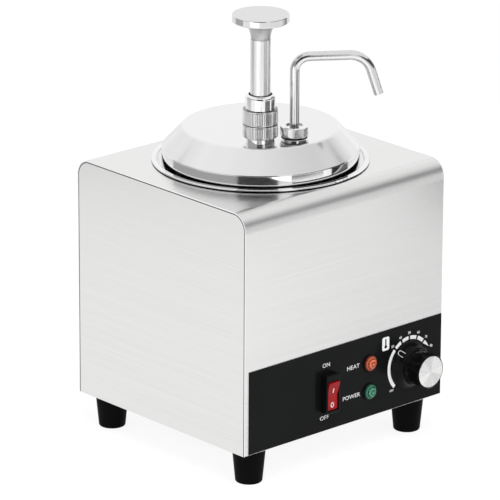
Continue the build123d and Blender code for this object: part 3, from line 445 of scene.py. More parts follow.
def lamp_glass(name, tone, centre):
    """Coloured lens with small prisms moulded inside; its colour carries painted glints and shade over the
    prisms and painted shade in a ring at its edge.
    """
    shader = material(name)
    pitch, rim_start, rim_full = 2.6 * MM, 4.6 * MM, 6.6 * MM
    spot = shader.place((1.0, 0.0, 1.0), centre)
    radius = spot.size()
    cells = shader.noise(spot, 1000.0, 2.0, 0.7)
    rings = (radius * (2 * math.pi / pitch)).sine() * 0.12
    prism = shader.ramp(cells + rings, 0.38, 0.62)
    rim = shader.ramp(radius, rim_start, rim_full)
    # Painted glints and shade: the prism pattern sets the colour between a dark and a near-white copy of
    # the tint.
    glow = shader.mix(prism, shade(tone, 0.22), lighter(tone, 0.1))
    return shader.surface(
        # Painted shade darkens the ring at the lens's edge.
        Base_Color=shader.mix(rim * 0.85, glow, shade(tone, 0.12)),
        Roughness=shader.ramp(prism, 0.0, 1.0, 0.14, 0.24),
        Specular_IOR_Level=0.12,
        Coat_Weight=0.06,
        Coat_Roughness=0.05,
        Normal=shader.bump(prism, 0.06 * MM, 0.4),
    )


def ink(name, tone):
    """Screen-printed ink, a little uneven."""
    shader = material(name)
    spread = shader.noise(shader.place(), 700.0, 3.0)
    return shader.surface(
        Base_Color=shader.mix(shader.ramp(spread, 0.3, 0.7), shade(tone, 0.94), shade(tone, 1.04)),
        Roughness=shader.ramp(spread, 0.3, 0.7, 0.4, 0.55),
        Specular_IOR_Level=0.3,
        Normal=shader.bump(spread, 0.01 * MM, 0.3),
    )


def mineral_wool(name, tone):
    """Matted fibres of the insulation."""
    shader = material(name)
    fibres = shader.noise(shader.place((1.0, 1.0, 0.35)), 900.0, 5.0, 0.7)
    tufts = shader.noise(shader.place(), 150.0, 3.0)
    return shader.surface(
        Base_Color=shader.mix(shader.ramp(fibres, 0.3, 0.7), shade(tone, 0.7), shade(tone, 1.1)),
        Roughness=shader.ramp(tufts, 0.3, 0.7, 0.85, 0.98),
        Specular_IOR_Level=0.1,
        Normal=shader.bump(fibres * 0.6 + tufts * 0.4, 0.6 * MM, 0.7),
    )


# ------------------------------------------------------------------ pieces
def paint(finish, *nodes):
    """Gives CAD pieces a finish."""
    for node in nodes:
        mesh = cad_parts[node].data
        mesh.materials.clear()
        mesh.materials.append(finish)


def new_object(name, data):
    """A new object in the scene."""
    made = bpy.data.objects.new(name, data)
    bpy.context.scene.collection.objects.link(made)
    return made


def new_mesh(name, shape, finish):
    """A new mesh with one finish from a bmesh, which is used up."""
    mesh = bpy.data.meshes.new(name)
    shape.to_mesh(mesh)
    shape.free()
    mesh.materials.append(finish)
    return mesh


def add_piece(name, shape, finish, body, slot, *replaced):
    """Makes an object from a bmesh, gives it a finish and lets it ride on a body."""
    bmesh.ops.recalc_face_normals(shape, faces=shape.faces)
    piece = new_object(name, new_mesh(name, shape, finish))
    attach(piece, body)
    if replaced:
        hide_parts(*replaced)
    return piece


def join_loops(shape, loops):
    """Faces between each closed loop of points and the next one."""
    for first, second in zip(loops, loops[1:]):
        for n in range(len(first)):
            after = (n + 1) % len(first)
            shape.faces.new((first[n], first[after], second[after], second[n]))


def ring_of(shape, axis, rows):
    """Closed ring round an upright axis from rows of (radii, height), one radius for each step."""
    loops = []
    for radii, z in rows:
        step = 2 * math.pi / len(radii)
        loops.append([
            shape.verts.new((axis.x + r * math.cos(n * step), axis.y + r * math.sin(n * step), z))
            for n, r in enumerate(radii)
        ])
    join_loops(shape, loops + loops[:1])


def smooth(piece, angle):
    """Soft shading, with edges sharper than an angle left crisp."""
    mesh = piece.data
    mesh.polygons.foreach_set("use_smooth", [True] * len(mesh.polygons))
    shape = bmesh.new()
    shape.from_mesh(mesh)
    for edge in shape.edges:
        edge.smooth = len(edge.link_faces) == 2 and edge.calc_face_angle(0.0) < math.radians(angle)
    shape.to_mesh(mesh)
    shape.free()


def knurled_ring(name, axis, radius, bore, z0, z1, finish, body, slot, node):
    """Ring with upright ridges between two plain edges."""
    details = bpy.context.scene.warmer_details
    profile = (0.0, 0.0, 0.0, 0.0, details.knurl_depth)
    steps = details.knurl_count * len(profile)
    ridged = [radius - profile[n % len(profile)] for n in range(steps)]
    edge, land, relief = 0.5 * MM, 1.0 * MM, 0.1 * MM
    rim = [radius - relief] * steps
    inset = [radius - edge] * steps
    hole = [bore] * steps
    rows = [
        (hole, z0), (inset, z0), (rim, z0 + edge), (rim, z0 + land), (ridged, z0 + land + edge),
        (ridged, z1 - land - edge), (rim, z1 - land), (rim, z1 - edge), (inset, z1), (hole, z1),
    ]
    shape = bmesh.new()
    ring_of(shape, axis, rows)
    add_piece(name, shape, finish, body, slot, node)


def strip(shape, outline, to_front, thickness):
    """Flat closed outline of (x, z) points raised into a thin solid by to_front(x, z, height)."""
    low = [shape.verts.new(to_front(x, z, 0.0)) for x, z in outline]
    high = [shape.verts.new(to_front(x, z, thickness)) for x, z in outline]
    points = len(outline)
    shape.faces.new(low)
    shape.faces.new(list(reversed(high)))
    for n in range(points):
        after = (n + 1) % points
        shape.faces.new((low[n], high[n], high[after], low[after]))


def frame_of(shape, outer, inner, to_front, thickness):
    """Closed band between two outlines with the same number of points, raised into a thin solid."""
    loops = [
        [shape.verts.new(to_front(x, z, height)) for x, z in outline]
        for outline, height in ((outer, 0.0), (outer, thickness), (inner, thickness), (inner, 0.0))
    ]
    join_loops(shape, loops + loops[:1])


def plate_round(shape, outer, inner, to_front, thickness):
    """Flat plate between an outline and a hole in it, raised into a thin solid."""
    edges = []
    for outline in (outer, inner):
        loop = [shape.verts.new(to_front(x, z, 0.0)) for x, z in outline]
        edges += [shape.edges.new((a, b)) for a, b in zip(loop, loop[1:] + loop[:1])]
    filled = bmesh.ops.triangle_fill(shape, use_beauty=True, use_dissolve=False, edges=edges)["geom"]
    faces = [part for part in filled if isinstance(part, bmesh.types.BMFace)]
    raised = bmesh.ops.extrude_face_region(shape, geom=faces, use_keep_orig=True)["geom"]
    points = [part for part in raised if isinstance(part, bmesh.types.BMVert)]
    out = Vector(to_front(0.0, 0.0, thickness)) - Vector(to_front(0.0, 0.0, 0.0))
    bmesh.ops.translate(shape, vec=out, verts=points)


def on_panel(x, z, height):
    """Place on the control panel's face, x and z in metres, height out of the face."""
    return (x, PANEL_FACE - height, z)


def rounded(width, height, corner, steps=6):
    """Outline of a rectangle with rounded corners about the middle."""
    points = []
    for turn, (side, rise) in enumerate(((1, 1), (-1, 1), (-1, -1), (1, -1))):
        for n in range(steps + 1):
            angle = math.radians(90 * turn + 90 * n / steps)
            points.append((
                side * (width / 2 - corner) + corner * math.cos(angle),
                rise * (height / 2 - corner) + corner * math.sin(angle),
            ))
    return points


def word(shape, text, centre, cap_height, place, thickness, width=None, weight=0.0, turn=0.0):
    """Letters as a thin solid, scaled to a cap height and, if given, a width."""
    curve = bpy.data.curves.new("lettering", "FONT")
    curve.body = text
    curve.size = 1.0
    curve.extrude = 0.5
    curve.offset = weight
    curve.resolution_u = 4
    holder = new_object("lettering", curve)
    bpy.context.view_layer.update()
    depsgraph = bpy.context.evaluated_depsgraph_get()
    mesh = bpy.data.meshes.new_from_object(holder.evaluated_get(depsgraph))
    bpy.data.objects.remove(holder)
    bpy.data.curves.remove(curve)
    xs = [v.co.x for v in mesh.vertices]
    ys = [v.co.y for v in mesh.vertices]
    mid_x = (min(xs) + max(xs)) / 2
    mid_y = (min(ys) + max(ys)) / 2
    rise = cap_height / (max(ys) - min(ys))
    spread = width / (max(xs) - min(xs)) if width else rise
    for vertex in mesh.vertices:
        x = (vertex.co.x - mid_x) * spread
        z = (vertex.co.y - mid_y) * rise
        height = (vertex.co.z + 0.5) * thickness
        side = x * math.cos(turn) - z * math.sin(turn)
        up = x * math.sin(turn) + z * math.cos(turn)
        vertex.co = place(centre[0] + side, centre[1] + up, height)
    part = bmesh.new()
    part.from_mesh(mesh)
    bmesh.ops.remove_doubles(part, verts=part.verts, dist=0.002 * MM)
    part.to_mesh(mesh)
    part.free()
    shape.from_mesh(mesh)
    bpy.data.meshes.remove(mesh)


class PieceOperator:
    """What every operator here shares."""

    bl_options = {"REGISTER", "UNDO"}

    def execute(self, context):
        self.build(context)
        return {"FINISHED"}


class WARMER_OT_casing(PieceOperator, bpy.types.Operator):
    """Brushed steel of the casing, its bottom plate and its rubber feet"""

    bl_idname = "warmer.casing"
    bl_label = "Casing"

    def build(self, context):
        tone = colours().satin_steel
        wrap = satin_steel("satin_steel_along_width", (5.0, 1500.0, 1500.0), tone, bright=self.cut_edge,
                           soft=self.bends)
        paint(wrap, "casing_wrap")
        side = satin_steel("satin_steel_along_depth", (1500.0, 5.0, 1500.0), tone, dark=self.seam_shade)
        paint(side, "left_side_panel", "right_side_panel")
        zinc = rough_metal("zinc_plate", colours().zinc, 260.0, 0.34, 0.02 * MM)
        paint(zinc, "bottom_plate", "foot_screws", "foot_nuts")
        rubber = moulded("foot_rubber", colours().rubber, 0.5, 0.03, 1600.0, 0.03 * MM)
        paint(rubber, "foot_front_left", "foot_front_right", "foot_rear_left", "foot_rear_right")

    def cut_edge(self, shader):
        """Bare cut edge of the bent sheet, at both sides of the casing."""
        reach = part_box("casing_wrap")[1].x
        return shader.place().parts()[0].magnitude() > reach - 0.02 * MM

    def bends(self, shader):
        """Bends between the top and the front and back."""
        low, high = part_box("casing_wrap")
        _, y, z = shader.place(centre=(low + high) / 2).parts()
        half = (high - low) / 2
        start_y, full_y, start_z, full_z = 13.0 * MM, 9.0 * MM, 18.0 * MM, 13.0 * MM
        over_y = shader.ramp(y.magnitude(), half.y - start_y, half.y - full_y)
        over_z = shader.ramp(z, half.z - start_z, half.z - full_z)
        return over_y * over_z

    def seam_shade(self, shader):
        """Painted shade along the edge of a side panel, where it rounds away into the seam."""
        low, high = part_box("left_side_panel")
        half = (high - low) / 2
        corner, line, blur = 13.4 * MM, 0.45 * MM, 0.1 * MM
        _, y, z = shader.place(centre=middle("left_side_panel")).parts()
        over_y = (y.magnitude() - (half.y - corner)).at_least(0.0)
        over_z = (z - (half.z - corner)).at_least(0.0)
        out = (over_y * over_y + over_z * over_z) ** 0.5
        return shader.ramp(out, corner - line - blur, corner - line + blur)


class WARMER_OT_well(PieceOperator, bpy.types.Operator):
    """Well, its quilted insulation and the heating under it"""

    bl_idname = "warmer.well"
    bl_label = "Well and heating"

    def build(self, context):
        tone = colours().satin_steel
        paint(turned_metal("spun_well", tone, WELL_AXIS, 2, 0.5 * MM, 0.26), "well_tank")
        zinc = rough_metal("zinc_fittings", colours().zinc, 420.0, 0.36, 0.02 * MM)
        paint(zinc, "heat_shield", "clamp_nuts", "sensor_clip")
        paint(rough_metal("cast_aluminium", (0.62, 0.62, 0.63), 700.0, 0.5, 0.12 * MM), "heater_plate")
        paint(rough_metal("heating_element", (0.16, 0.165, 0.15), 500.0, 0.55), "heating_element")
        paint(rough_metal("drawn_copper", (0.72, 0.36, 0.23), 320.0, 0.3, 0.02 * MM), "temperature_sensor")
        paint(moulded("cutout_plastic", colours().black_plastic, 0.4), "safety_cutout")
        self.insulation(context.scene.warmer_details)

    def insulation(self, details):
        """Quilted blanket round the well, tied where it is stitched."""
        low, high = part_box("insulation_jacket")
        thickness, core, hem = 12.0 * MM, 4 * MM, 2 * MM
        outer = (high.x - low.x) / 2
        inner = outer - thickness
        steps, panels, courses, levels = 192, 16, 4, 25
        rows = [([inner] * steps, low.z + hem)]
        for level in range(levels + 1):
            t = level / levels
            edge = math.sin(math.pi * t) ** 0.16 if 0 < t < 1 else 0.0
            radii = []
            for n in range(steps):
                across = abs(math.sin(math.pi * panels * n / steps))
                along = abs(math.sin(math.pi * courses * t))
                crown = (across ** 0.45) * (along ** 0.45)
                stitched = details.quilting * (1 - crown) * edge
                radii.append(inner + core + (outer - inner - core) * edge - stitched)
            rows.append((radii, low.z + (high.z - low.z) * t))
        rows.append(([inner] * steps, high.z - hem))
        shape = bmesh.new()
        ring_of(shape, middle("insulation_jacket"), rows)
        wool = mineral_wool("mineral_wool", (0.70, 0.64, 0.42))
        blanket = add_piece("insulation_blanket", shape, wool, "housing", "glass_wool", "insulation_jacket")
        smooth(blanket, 70.0)


class WARMER_OT_panel(PieceOperator, bpy.types.Operator):
    """Black control panel with its printed words, pictogram and dial"""

    bl_idname = "warmer.panel"
    bl_label = "Control panel"

    def build(self, context):
        paint(self.film(colours().panel), "control_panel")
        sizes = context.scene.warmer_print
        shape = bmesh.new()
        self.words(shape, sizes)
        self.dial(shape, sizes)
        self.pictogram(shape, sizes)
        white = ink("white_ink", colours().print_white)
        add_piece("panel_print", shape, white, "housing", "white_plastic")

    def film(self, tone):
        """Black film on a bright plate, whose cut edges show."""
        shader = material("panel_film")
        skin, plate = 0.08 * MM, (0.85, 0.85, 0.85)
        cloud = shader.noise(shader.place(), 30.0, 3.0)
        grain = shader.noise(shader.place(), 2200.0, 2.0)
        edge = shader.place().parts()[1] > PANEL_FACE + skin
        black = shader.mix(shader.ramp(cloud, 0.35, 0.65), shade(tone, 0.9), shade(tone, 1.1))
        return shader.surface(
            Base_Color=shader.mix(edge, black, plate),
            Metallic=edge,
            Roughness=shader.ramp(cloud, 0.3, 0.7, 0.17, 0.2) + edge * 0.15,
            Specular_IOR_Level=0.07,
            Normal=shader.bump(grain, 0.004 * MM, 0.4),
        )

    def words(self, shape, sizes):
        """Words of the switch and the lamps: middle and width in millimetres."""
        for text, x, z, cap, width in (
            ("ON", -22.2, 92.3, sizes.switch_word, 8.4),
            ("OFF", -23.9, 44.9, sizes.switch_word, 10.2),
            ("HEAT", 9.7, 82.7, sizes.lamp_word, 14.5),
            ("POWER", 7.75, 56.2, sizes.lamp_word, 20.4),
        ):
            word(shape, text, (x * MM, z * MM), cap, on_panel, sizes.film, width * MM)

    def spot(self, angle, radius):
        """Point at an angle in degrees round the dial's centre."""
        turn = math.radians(angle)
        return DIAL.x + radius * math.cos(turn), DIAL.z + radius * math.sin(turn)

    def arc(self, start, end, radius, steps):
        """Points from one angle to another round the dial's centre."""
        return [self.spot(start + (end - start) * n / steps, radius) for n in range(steps + 1)]

    def dial(self, shape, sizes):
        """Broken band that ends in a point, with plain numbers outside it."""
        marks = (POINTER_AT_REST, 112.0, 90.0, 67.5, 45.0)
        off, last_number, band_start, taper, tip = 224.0, 21.6, 225.0, 30.0, 24.0
        lean, bold, small, overshoot = 0.35, 0.015, 0.85, 0.4 * MM
        half_gap = math.degrees(sizes.dial_gap / 2 / sizes.band_outer)
        bands = [(band_start, marks[0] + half_gap, 30)]
        bands += [(a - half_gap, b + half_gap, 8) for a, b in zip(marks, marks[1:])]
        for start, end, steps in bands:
            outline = self.arc(start, end, sizes.band_outer, steps)
            outline += reversed(self.arc(start, end, sizes.band_inner, steps))
            strip(shape, outline, on_panel, sizes.film)
        start = marks[-1] - half_gap
        outline = self.arc(start, taper, sizes.band_outer, 5)
        outline += [self.spot(tip, sizes.band_outer + overshoot), self.spot(start, sizes.band_inner)]
        strip(shape, outline, on_panel, sizes.film)
        for text, angle in zip(("30", "40", "50", "60", "70", "80"), (*marks, last_number)):
            word(shape, text, self.spot(angle, sizes.number_radius), sizes.dial_numbers, on_panel,
                 sizes.film, weight=bold, turn=math.radians(angle - 90.0) * lean)
        word(shape, "OFF", self.spot(off, sizes.number_radius), sizes.dial_numbers * small, on_panel,
             sizes.film, weight=bold)

    def pictogram(self, shape, sizes):
        """Thermometer left black in a white plate."""
        x, z = 47.9 * MM, 94.7 * MM
        stem, bulb, foot, top = 0.75 * MM, 1.6 * MM, -2.7 * MM, 3.9 * MM
        neck = math.acos(stem / bulb)
        turns = [math.pi - neck + (math.pi + 2 * neck) * n / 16 for n in range(17)]
        cap = [math.pi * n / 8 for n in range(9)]
        mark = [(stem * math.cos(turn), top + stem * math.sin(turn)) for turn in cap]
        mark += [(bulb * math.cos(turn), foot + bulb * math.sin(turn)) for turn in turns]
        plate = rounded(8.4 * MM, 12.2 * MM, 1.8 * MM, 7)

        def in_place(across, up, height):
            return on_panel(x + across, z + up, height)

        plate_round(shape, plate, mark, in_place, sizes.film)


class WARMER_OT_switch(PieceOperator, bpy.types.Operator):
    """Power switch: glossy black frame, red rocker with I and O"""

    bl_idname = "warmer.switch"
    bl_label = "Switch"

    def build(self, context):
        black = moulded("switch_plastic", colours().black_plastic, 0.16, 0.1, 1500.0, 0.006 * MM)
        paint(black, "switch_housing")
        red = moulded("rocker_plastic", colours().rocker_red, 0.18, 0.14, 1200.0, 0.008 * MM, 0.08)
        paint(red, "switch_rocker")
        shape = bmesh.new()
        on_mark, off_mark, film, steps = 5.1 * MM, -8.3 * MM, 0.05 * MM, 28
        bar = [(x, z + on_mark) for x, z in rounded(0.95 * MM, 4.4 * MM, 0.4 * MM, 3)]
        strip(shape, bar, self.on_face, film)
        turns = [2 * math.pi * n / steps for n in range(steps)]
        outer, inner = (
            [(across * math.cos(turn), off_mark + up * math.sin(turn)) for turn in turns]
            for across, up in ((1.9 * MM, 2.3 * MM), (1.2 * MM, 1.55 * MM))
        )
        frame_of(shape, outer, inner, self.on_face, film)
        white = ink("rocker_ink", colours().print_white)
        add_piece("rocker_marks", shape, white, "rocker", "white_plastic")

    def on_face(self, x, z, height):
        """Place on the rocker's V face at rest: x across, z along it from the pivot."""
        pivot_reach, middle_rise, tip_rise, half = 5.0 * MM, 1.5 * MM, 3.0 * MM, 12.8 * MM
        swing = math.radians(7.0)
        out = middle_rise + abs(z) * (tip_rise - middle_rise) / half + height
        rise = z * math.cos(swing) - out * math.sin(swing)
        reach = z * math.sin(swing) + out * math.cos(swing)
        return (SWITCH.x + x, SHEET_FACE - pivot_reach - reach, ROCKER_PIVOT_Z + rise)


class WARMER_OT_lamps(PieceOperator, bpy.types.Operator):
    """Amber heat lamp and green power lamp"""

    bl_idname = "warmer.lamps"
    bl_label = "Lamps"

    def build(self, context):
        black = moulded("lamp_holder", colours().black_plastic, 0.28, 0.06, 1500.0)
        paint(black, "heat_lamp_body", "power_lamp_body")
        paint(lamp_glass("amber_lens", colours().amber, HEAT_LAMP), "heat_lamp_lens")
        paint(lamp_glass("green_lens", colours().green, POWER_LAMP), "power_lamp_lens")


class WARMER_OT_thermostat(PieceOperator, bpy.types.Operator):
    """Thermostat with its fluted knob, spun end cap and white pointer"""

    bl_idname = "warmer.thermostat"
    bl_label = "Thermostat"

    def build(self, context):
        paint(moulded("knob_plastic", colours().black_plastic, 0.13, 0.08, 1300.0), "thermostat_knob")
        # The spun cap's colour carries painted reflection in dark wedges.
        paint(turned_metal("spun_cap", (0.97, 0.965, 0.96), DIAL, 1, 0.35 * MM, 0.3, 0.45), "knob_cap")
        zinc = rough_metal("thermostat_zinc", colours().zinc, 300.0, 0.36, 0.02 * MM)
        paint(zinc, "thermostat_body", "thermostat_screws", "thermostat_shaft")
        self.pointer()

    def pointer(self):
        """White outline of the pointer's nose, printed on the knob's skirt."""
        skirt, skirt_reach, neck, neck_reach, bulge = 21.7, 2.4, 14.6, 11.0, 0.2
        bend = Vector(((skirt + 2 * neck) / 3 + bulge, (2 * skirt_reach + neck_reach) / 3))
        ends = Vector((skirt, skirt_reach)), Vector((neck, neck_reach))
        centre, radius = circle_through(ends[0], bend, ends[1])

        def on_skirt(x, z, height):
            """Place on the dished skirt: x across the pointer, z the distance from the knob's axis."""
            span = math.hypot(x, z)
            reach = centre.y - math.sqrt(max(0.0, radius ** 2 - (span / MM - centre.x) ** 2))
            turn = math.radians(POINTER_AT_REST) - math.atan2(x, z)
            out = reach * MM + height
            return (DIAL.x + span * math.cos(turn), SHEET_FACE - out, DIAL.z + span * math.sin(turn))

        half, line, nose, tail, steps = 2.3 * MM, 0.42 * MM, 21.3 * MM, 16.4 * MM, 14
        turns = [math.pi * n / steps for n in range(steps + 1)]
        outer, inner = (
            [(reach * math.cos(turn), nose - half + reach * math.sin(turn)) for turn in turns]
            for reach in (half, half - line)
        )
        outline = [(half, tail), *outer, (-half, tail), (line - half, tail)]
        outline += [*reversed(inner), (half - line, tail)]
        shape = bmesh.new()
        strip(shape, outline, on_skirt, 0.06 * MM)
        white = ink("pointer_ink", colours().print_white)
        add_piece("knob_pointer", shape, white, "knob", "white_plastic")


def circle_through(a, b, c):
    """Centre and radius of the circle through three points of a plane."""
    d = 2 * (a.x * (b.y - c.y) + b.x * (c.y - a.y) + c.x * (a.y - b.y))
    squares = [p.x ** 2 + p.y ** 2 for p in (a, b, c)]
    x = (squares[0] * (b.y - c.y) + squares[1] * (c.y - a.y) + squares[2] * (a.y - b.y)) / d
    y = (squares[0] * (c.x - b.x) + squares[1] * (a.x - c.x) + squares[2] * (b.x - a.x)) / d
    centre = Vector((x, y))
    return centre, (a - centre).length


class WARMER_OT_supply(PieceOperator, bpy.types.Operator):
    """Cable gland, terminal block and earth screw"""

    bl_idname = "warmer.supply"
    bl_label = "Supply"

    def build(self, context):
        black = moulded("gland_plastic", colours().black_plastic, 0.42, 0.25, 1200.0, 0.02 * MM)
        paint(black, "gland_body", "gland_nut", "gland_locknut")
        paint(moulded("seal_rubber", colours().rubber, 0.5, 0.2, 1600.0, 0.02 * MM), "gland_seal")
        paint(moulded("block_plastic", (0.74, 0.73, 0.68), 0.4, 0.3, 900.0, 0.03 * MM), "terminal_block")
        paint(rough_metal("turned_brass", (0.72, 0.52, 0.22), 500.0, 0.26, 0.02 * MM), "earth_screw")


class WARMER_OT_lid(PieceOperator, bpy.types.Operator):
    """Pot and domed lid in polished steel"""

    bl_idname = "warmer.lid"
    bl_label = "Pot and lid"

    def build(self, context):
        paint(polished_steel("pot_polish", colours().polished_steel, dark=self.shade_under_rim), "pot")
        paint(self.spun(colours().polished_steel), "lid")

    def shade_under_rim(self, shader):
        """Painted shade on the outside of the pot's rim below its top, where it lies on the casing."""
        width, start, full = 1.2 * MM, 1.25 * MM, 1.45 * MM
        rim_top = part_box("pot")[1].z
        near_edge = shader.from_axis(WELL_AXIS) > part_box("pot")[1].x - width
        height = shader.place().parts()[2]
        return near_edge * shader.ramp(height, rim_top - start, rim_top - full)

    def spun(self, tone):
        """Polish over faint spinning rings, with broad dark wedges of painted reflection round the sloping
        shoulder.
        """
        shader = material("lid_polish")
        dome, blend, shoulder_start, shoulder_full = 19.0 * MM, 1.0 * MM, 66.0 * MM, 69.0 * MM
        radius = shader.from_axis(WELL_AXIS)
        height = shader.place().parts()[2]
        skirt_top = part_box("lid")[1].z - dome
        satin = shader.ramp(height, skirt_top - blend, skirt_top + blend)
        rings = shader.rings(radius, 1800.0)
        cloud = shader.noise(shader.place(), 30.0, 3.0)
        turn = shader.angle(WELL_AXIS)
        fan = (turn * 2.0 + 2.18).sine() * 0.76 + (turn * 3.0 + 2.857).sine() * 0.7
        shoulder = shader.ramp(radius, shoulder_start, shoulder_full) * satin
        face = shader.mix(shader.ramp(rings, 0.3, 0.7), shade(tone, 0.96), tone)
        # Painted reflection: darker wedges of colour round the shoulder.
        painted_sectors = shoulder * shader.ramp(fan, -1.0, 0.9, 1.0, 0.0)
        return shader.surface(
            Base_Color=shader.mix(painted_sectors, face, shade(tone, 0.74)),
            Metallic=1.0,
            Roughness=shader.ramp(cloud, 0.35, 0.7, 0.05, 0.08) + satin * 0.13,
            Normal=shader.bump(rings * satin, 0.008 * MM, 0.35),
        )


class WARMER_OT_pump(PieceOperator, bpy.types.Operator):
    """Hand pump: knurled rings, polished cap, plunger and the works below the lid"""

    bl_idname = "warmer.pump"
    bl_label = "Pump"

    def build(self, context):
        tone = colours().polished_steel
        polish = polished_steel("pump_polish", tone, 0.07)
        paint(polish, "pump_base", "pump_cylinder", "valve_body", "valve_ball", "discharge_tube")
        paint(polished_steel("cap_polish", tone, 0.07, dark=self.mouth), "pump_cap")
        # Plunger shaft in a darker copy of the polished steel, painted shade that tones down its
        # reflections.
        paint(drawn_steel("plunger_polish", shade(tone, 0.93), 0.24), "plunger_shaft")
        # Palm in a darker copy of the polished steel, painted shade that tones down its reflections.
        paint(self.palm(shade(tone, 0.88)), "plunger_knob")
        white = moulded("white_plastic", (0.78, 0.78, 0.75), 0.35, 0.3, 1000.0, 0.01 * MM)
        paint(white, "guide_bush", "piston")
        rubber = moulded("pump_rubber", colours().rubber, 0.45, 0.22, 1600.0, 0.02 * MM)
        paint(rubber, "pump_gasket", "piston_seal")
        knurl = polished_steel("knurl_polish", shade(tone, 0.8), 0.1, dark=self.grooves)
        bore = 11.0 * MM
        for node in ("lower_ring", "upper_ring"):
            low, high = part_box(node)
            knurled_ring("knurled_" + node, PUMP_AXIS, (high.x - low.x) / 2, bore, low.z, high.z, knurl,
                         "lid", "polished_steel", node)
        self.spring(context.scene.warmer_details)

    def mouth(self, shader):
        """Shadowed mouth of the cap round the plunger."""
        mouth_radius = 10.2 * MM
        return shader.from_axis(PUMP_AXIS) < mouth_radius

    def grooves(self, shader):
        """Painted shade in the grooves of the knurl and in the joint between the two rings."""
        details = bpy.context.scene.warmer_details
        low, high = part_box("lower_ring")
        radius = shader.from_axis(PUMP_AXIS)
        floor = (high.x - low.x) / 2 - details.knurl_depth
        shade_full, shade_none = 0.12 * MM, 0.3 * MM
        groove = shader.ramp(radius, floor + shade_full, floor + shade_none, 0.62, 0.0)
        off_joint = (shader.place().parts()[2] - high.z).magnitude()
        joint = shader.ramp(off_joint, details.joint_line * 0.4, details.joint_line * 0.6, 1.0, 0.0)
        return groove.at_least(joint)

    def palm(self, tone):
        """Palm disc: satin top, polished rim, brushed flare darkened in colour with painted shade."""
        shader = material("palm_polish")
        radius = shader.from_axis(PUMP_AXIS)
        height = shader.place().parts()[2]
        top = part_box("plunger_knob")[1].z
        rim, face_edge, flare_top, disc = 0.4 * MM, 0.1 * MM, 7.0 * MM, 6.8 * MM
        satin = shader.ramp(height, top - rim, top - face_edge)
        flare = shader.ramp(height, top - flare_top, top - disc, 1.0, 0.0)
        rings = shader.rings(radius, 2400.0)
        face = shader.mix(shader.ramp(rings, 0.3, 0.7), shade(tone, 0.94), tone)
        return shader.surface(
            # Painted shade darkens the flare under the disc.
            Base_Color=shader.mix(flare, face, shade(tone, 0.6)),
            Metallic=1.0,
            Roughness=0.08 + satin * shader.ramp(rings, 0.3, 0.7, 0.2, 0.3) + flare * 0.2,
            Normal=shader.bump(rings * satin, 0.01 * MM, 0.4),
        )

    def spring(self, details):
        """Coil spring with closed ends, pressed shorter by the plunger."""
        low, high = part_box("return_spring")
        wire = details.wire / 2
        coil = (high.x - low.x) / 2 - wire
        turns, per_turn, around = details.spring_turns, 36, 10
        closed_rise = 2.1 * wire
        open_rise = (high.z - low.z - 2 * wire - 2 * closed_rise) / (turns - 2)
        shape = bmesh.new()
        loops = []
        for n in range(turns * per_turn + 1):
            wound = n / per_turn
            angle = 2 * math.pi * wound
            rise = closed_rise * (min(wound, 1.0) + max(0.0, wound - turns + 1.0))
            rise += open_rise * min(max(wound - 1.0, 0.0), turns - 2.0)
            loops.append([
                shape.verts.new((
                    PUMP_AXIS.x + (coil + wire * math.cos(b)) * math.cos(angle),
                    PUMP_AXIS.y + (coil + wire * math.cos(b)) * math.sin(angle),
                    low.z + wire + rise + wire * math.sin(b),
                ))
                for b in (2 * math.pi * k / around for k in range(around))
            ])
        join_loops(shape, loops)
        shape.faces.new(loops[0])
        shape.faces.new(list(reversed(loops[-1])))
        steel = rough_metal("spring_steel", (0.52, 0.52, 0.53), 600.0, 0.28, 0.01 * MM)
        coil_piece = add_piece("coil_spring", shape, steel, "lid", "spring_steel", "return_spring")
        smooth(coil_piece, 60.0)
        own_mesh(coil_piece)


class WARMER_OT_spout(PieceOperator, bpy.types.Operator):
    """Swivelling spout with its ribbed nut"""

    bl_idname = "warmer.spout"
    bl_label = "Spout"

    def build(self, context):
        tone = colours().polished_steel
        # Spout tube in a darker copy of the polished steel, painted shade that tones down its reflections.
        paint(drawn_steel("spout_tube_polish", shade(tone, 0.84), 0.16), "spout_tube")
        paint(polished_steel("spout_polish", tone, 0.07), "spout_base", "spout_locknut")
        paint(moulded("spout_rubber", colours().rubber, 0.4, 0.22, 1600.0, 0.02 * MM), "spout_gasket")
        self.nut(context.scene.warmer_details)

    def nut(self, details):
        """Eight-sided nut with upright ribs on every face and a recess round the tube."""
        low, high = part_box("spout_nut")
        z0, z1 = low.z, high.z
        sides = 8
        steps = sides * details.nut_ribs * 2
        corner = (high.x - low.x) / 2
        flat, edge, corner_edge = 11.3 * MM, 0.8 * MM, 0.2 * MM
        tube_hole, recess_radius, thread = 4.35 * MM, 7.5 * MM, 8.05 * MM
        recess_depth, web, plain = 1.2 * MM, 1.7 * MM, edge * 1.4

        def outline(inset, depth):
            """Radii round the nut, with a corner on the X axis."""
            radii = []
            for n in range(steps):
                turn = (n * 2 * math.pi / steps) % (2 * math.pi / sides) - math.pi / sides
                straight = (flat - inset - (depth if n % 2 else 0.0)) / math.cos(turn)
                radii.append(min(straight, corner + corner_edge - inset))
            return radii

        hole, recess, bore = ([radius] * steps for radius in (tube_hole, recess_radius, thread))
        floor = z1 - recess_depth - web
        depth = details.nut_rib_depth
        rows = [
            (bore, z0), (outline(edge, 0.0), z0), (outline(0.0, 0.0), z0 + edge),
            (outline(0.0, depth), z0 + plain), (outline(0.0, depth), z1 - plain),
            (outline(0.0, 0.0), z1 - edge), (outline(edge, 0.0), z1), (recess, z1),
            (recess, z1 - recess_depth), (hole, z1 - recess_depth), (hole, floor), (bore, floor),
        ]
        shape = bmesh.new()
        ring_of(shape, SPOUT_AXIS, rows)
        polish = polished_steel("nut_polish", colours().polished_steel, 0.1)
        add_piece("ribbed_spout_nut", shape, polish, "lid", "polished_steel", "spout_nut")


